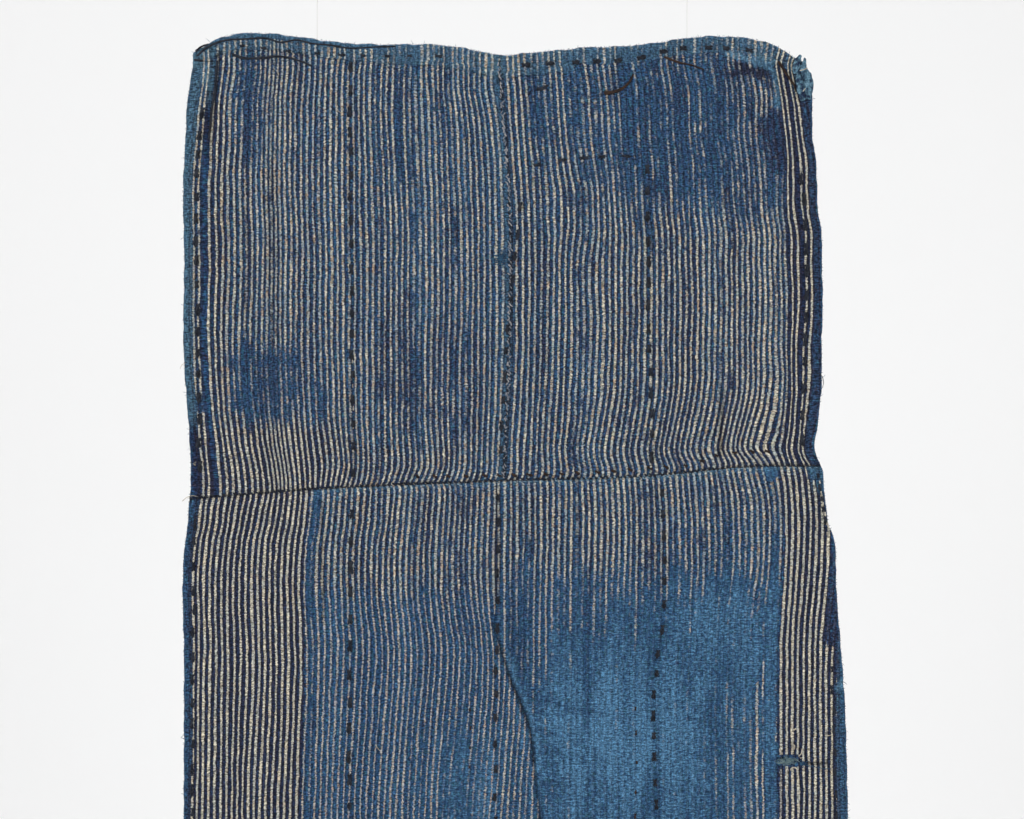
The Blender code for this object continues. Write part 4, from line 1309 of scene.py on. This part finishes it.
def edge_fibres(chooser):
    """Short fibres that stand out all round the outline of the cloth."""
    routes = []
    for table, side in ((LEFT_EDGE, -1), (RIGHT_EDGE, 1)):
        heights = np.arange(table[-1].height + 0.004, table[0].height - 0.002, 0.0011)
        places = edge_place(table, heights) - side * 0.0008
        routes += [(across, height, side, 0.0) for across, height in zip(places, heights)]
    places = np.arange(TOP_EDGE[0].across, TOP_EDGE[-1].across, 0.0011)
    heights = smooth_through(TOP_EDGE, places) - 0.0006
    routes += [(across, height, 0.0, 1.0) for across, height in zip(places, heights)]
    strands = []
    share = np.array([0.0, 0.5, 1.0])
    for across, height, out_x, out_z in routes:
        if chooser.random() < 0.30:
            continue
        long = chooser.random() < 0.04
        reach = chooser.uniform(0.0025, 0.0045) if long else chooser.uniform(0.0009, 0.0019)
        slant = chooser.uniform(-1.1, 1.1)
        curl = share * (slant + share * chooser.uniform(-0.4, 0.4)) * reach
        path = np.stack([
            across + share * reach * out_x + curl * out_z,
            height + share * reach * out_z + curl * abs(out_x),
            np.full(3, -chooser.uniform(0.0003, 0.0010)),
        ], axis=-1)
        strands.append((path, chooser.uniform(0.00010, 0.00024)))
    return strands


def corner_tabs():
    """The gathered end of the hem at the top right corner, folded over into small tabs."""
    # Each fold: (across, height, lift) places, and half widths along it.
    folds = [
        ([(0.2970, -0.0190, 0.0016), (0.2962, -0.0110, 0.0026), (0.2985, -0.0040, 0.0022),
          (0.3008, 0.0000, 0.0010)], [0.0040, 0.0042, 0.0030, 0.0014]),
        ([(0.3025, -0.0190, 0.0022), (0.3030, -0.0120, 0.0030), (0.3045, -0.0060, 0.0026),
          (0.3046, -0.0030, 0.0016)], [0.0032, 0.0030, 0.0020, 0.0010]),
        ([(0.3010, -0.0130, 0.0018), (0.3060, -0.0200, 0.0034), (0.3085, -0.0290, 0.0034),
          (0.3085, -0.0380, 0.0024), (0.3080, -0.0450, 0.0010)],
         [0.0030, 0.0046, 0.0048, 0.0040, 0.0026]),
        ([(0.2985, -0.0190, 0.0012), (0.2995, -0.0270, 0.0026), (0.3010, -0.0360, 0.0024),
          (0.3030, -0.0460, 0.0010)], [0.0030, 0.0040, 0.0040, 0.0026]),
    ]
    strands = []
    for route, widths in folds:
        points = evenly(route, 0.0009)
        so_far = np.linspace(0, 1, len(points))
        radius = smooth_through(list(zip(np.linspace(0, 1, len(widths)), widths)), so_far)
        radius = radius * (1 + 0.10 * ripple(points[:, 2] + points[:, 0] * 2, 0.006, 2))
        strands.append((points, radius, 0.42))
    return tubes("corner_tabs", laid_on_face(strands), sides=18)


ThreadShade = namedtuple("ThreadShade", "thread slot sides dark light")
THREAD_SHADES = listed(ThreadShade,
    ("dark", "upper_left_cloth", 6, (0.007, 0.009, 0.015), (0.034, 0.04, 0.054)),
    ("brown", "upper_right_cloth", 6, (0.01, 0.0075, 0.008), (0.056, 0.032, 0.022)),
    ("pale", "upper_left_cloth", 6, (0.33, 0.29, 0.235), (0.7, 0.655, 0.56)),
    ("blue", "lower_left_cloth", 4, (0.011, 0.029, 0.07), (0.045, 0.13, 0.23)),
    ("teal", "lower_right_cloth", 4, (0.07, 0.135, 0.17), (0.26, 0.36, 0.37)),
    ("mist", "upper_left_cloth", 6, (0.12, 0.15, 0.2), (0.5, 0.48, 0.48)),
    ("ice", "lower_right_cloth", 6, (0.07, 0.15, 0.24), (0.3, 0.44, 0.54)))


def thread_material(shade):
    """Twisted cotton thread between two shades."""
    n = Nodes(shade.thread + "_thread")
    place = n.object_place()
    fibre = n.solid_noise(place, 1500)
    tone = n.solid_noise(place, 190)
    share = n.step(n.add(n.times(fibre, 0.5), n.times(tone, 0.5)), 0.38, 0.62)
    colour = n.blend(share, shade.dark, shade.light)
    return n.finish(colour, 0.9, n.bump(fibre, 0.0002), sheen=0.05)


def tab_material():
    """Indigo cloth without stripes, rubbed pale on its folds."""
    n = Nodes("tab_cloth")
    place = n.object_place()
    patch = n.solid_noise(place, 260, 4)
    grain = n.solid_noise(place, 900, 2)
    colour = n.blend(n.step(patch, 0.36, 0.54), DEEP_INDIGO, GREY_TEAL)
    colour = n.blend(n.step(patch, 0.50, 0.66), colour, FADED_TEAL)
    colour = n.scaled(colour, n.step(grain, 0.3, 0.7, 0.5, 1.5))
    return n.finish(colour, 0.95, n.bump(n.add(grain, patch), 0.0006), sheen=0.05)


def add_stitching():
    """Every stitch, tuft and loose thread, joined into one piece for each colour of thread."""
    chooser = random.Random(5)
    strands = {shade.thread: [] for shade in THREAD_SHADES}
    for row in STITCH_ROWS:
        strands[row.thread] += stitches_of(row, chooser)
        if row.thread == "dark" and row.step > LONG_STEP:
            strands["dark"] += back_stitches_of(row, chooser)
    whip_grey, whip_dark = whip_stitches(chooser)
    notch_dark, notch_pale = seam_notches(chooser)
    strands["mist"] += whip_grey
    strands["ice"] += notch_pale
    strands["dark"] += whip_dark + notch_dark
    for loose in LOOSE_THREADS:
        path = evenly([(*place, loose.lift) for place in loose.route], 0.0007)
        share = np.linspace(0, 1, len(path))
        radius = loose.radius * (1 - loose.taper * share) * (1 + 0.15 * ripple(share, 0.3, 1))
        strands[loose.thread].append((path, radius))
    for tuft in TUFTS:
        strands[tuft.thread] += tuft_strands(tuft, chooser)
    strands["blue"] += edge_fibres(chooser)
    for shade in THREAD_SHADES:
        piece = tubes(shade.thread + "_threads", laid_on_face(strands[shade.thread]), shade.sides)
        piece.data.materials.append(thread_material(shade))
        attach(piece, "root")
    tabs = corner_tabs()
    tabs.data.materials.append(tab_material())
    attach(tabs, "root")


# ---------------------------------------------------------------------------------------------
# Stage and light.


def add_plane(name, corners, colour, one_sided=False):
    obj = add_mesh(name, corners, [[0, 1, 2, 3]], smooth=False)
    n = Nodes(name)
    cloud = n.solid_noise(n.object_place(), 1.5)
    paint = n.blend(cloud, tuple(0.985 * part for part in colour), colour)
    n.finish(paint, 0.9, specular=0.1)
    if one_sided:
        behind = n.node("NewGeometry").outputs["Backfacing"]
        clear = n.node("BsdfTransparent").outputs[0]
        mix = n.node("MixShader", {"Fac": behind, 1: n.shader.outputs[0], 2: clear})
        n.put(n.tree.nodes["Material Output"].inputs["Surface"], mix.outputs[0])
    obj.data.materials.append(n.material)
    return obj


def add_area_light(name, place, target, size, power, colour=(1, 1, 1)):
    data = bpy.data.lights.new(name, "AREA")
    data.shape = "SQUARE"
    data.size = size
    data.energy = power
    data.color = colour
    light = bpy.data.objects.new(name, data)
    light.location = place
    light.rotation_euler = (Vector(target) - Vector(place)).to_track_quat("-Z", "Y").to_euler()
    light.visible_camera = False
    bpy.context.scene.collection.objects.link(light)


def add_stage():
    floor_at = FOOT - 0.25
    wall_at = 2.2
    square = ((-1, -1), (1, -1), (1, 1), (-1, 1))
    add_plane("floor", [(4 * across, 4 * back, floor_at) for across, back in square],
              (0.80, 0.80, 0.80))
    corners = [(5 * across, wall_at, 3.5 if up > 0 else floor_at) for across, up in square]
    wall = add_plane("wall", corners, (0.94, 0.94, 0.94), one_sided=True)
    wall.visible_shadow = False
    add_area_light("key_light", (-1.9, -2.6, 1.2), (0, 0, -0.4), 1.8, 48)
    add_area_light("fill_light", (2.2, -2.6, 0.2), (0, 0, -0.4), 2.2, 30)
    add_area_light("back_light", (0.6, 2.8, 1.0), (0, 0, -0.5), 2.0, 36)
    add_area_light("wall_light", (0, 0.9, -0.3), (0, wall_at, -0.3), 3.4, 12)
    world = bpy.data.worlds.new("studio")
    world.use_nodes = True
    world.node_tree.nodes["Background"].inputs["Color"].default_value = (1, 1, 1, 1)
    world.node_tree.nodes["Background"].inputs["Strength"].default_value = 0.50
    bpy.context.scene.world = world
    bpy.context.scene.view_settings.view_transform = "Standard"


# ---------------------------------------------------------------------------------------------


def main():
    add_camera()
    add_hanging_threads()
    for panel in PANELS:
        sheet = add_panel(panel)
        sheet.data.materials.append(striped_cloth(panel))
        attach(sheet, "root")
        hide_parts(panel.name)
    add_stitching()
    add_stage()


main()
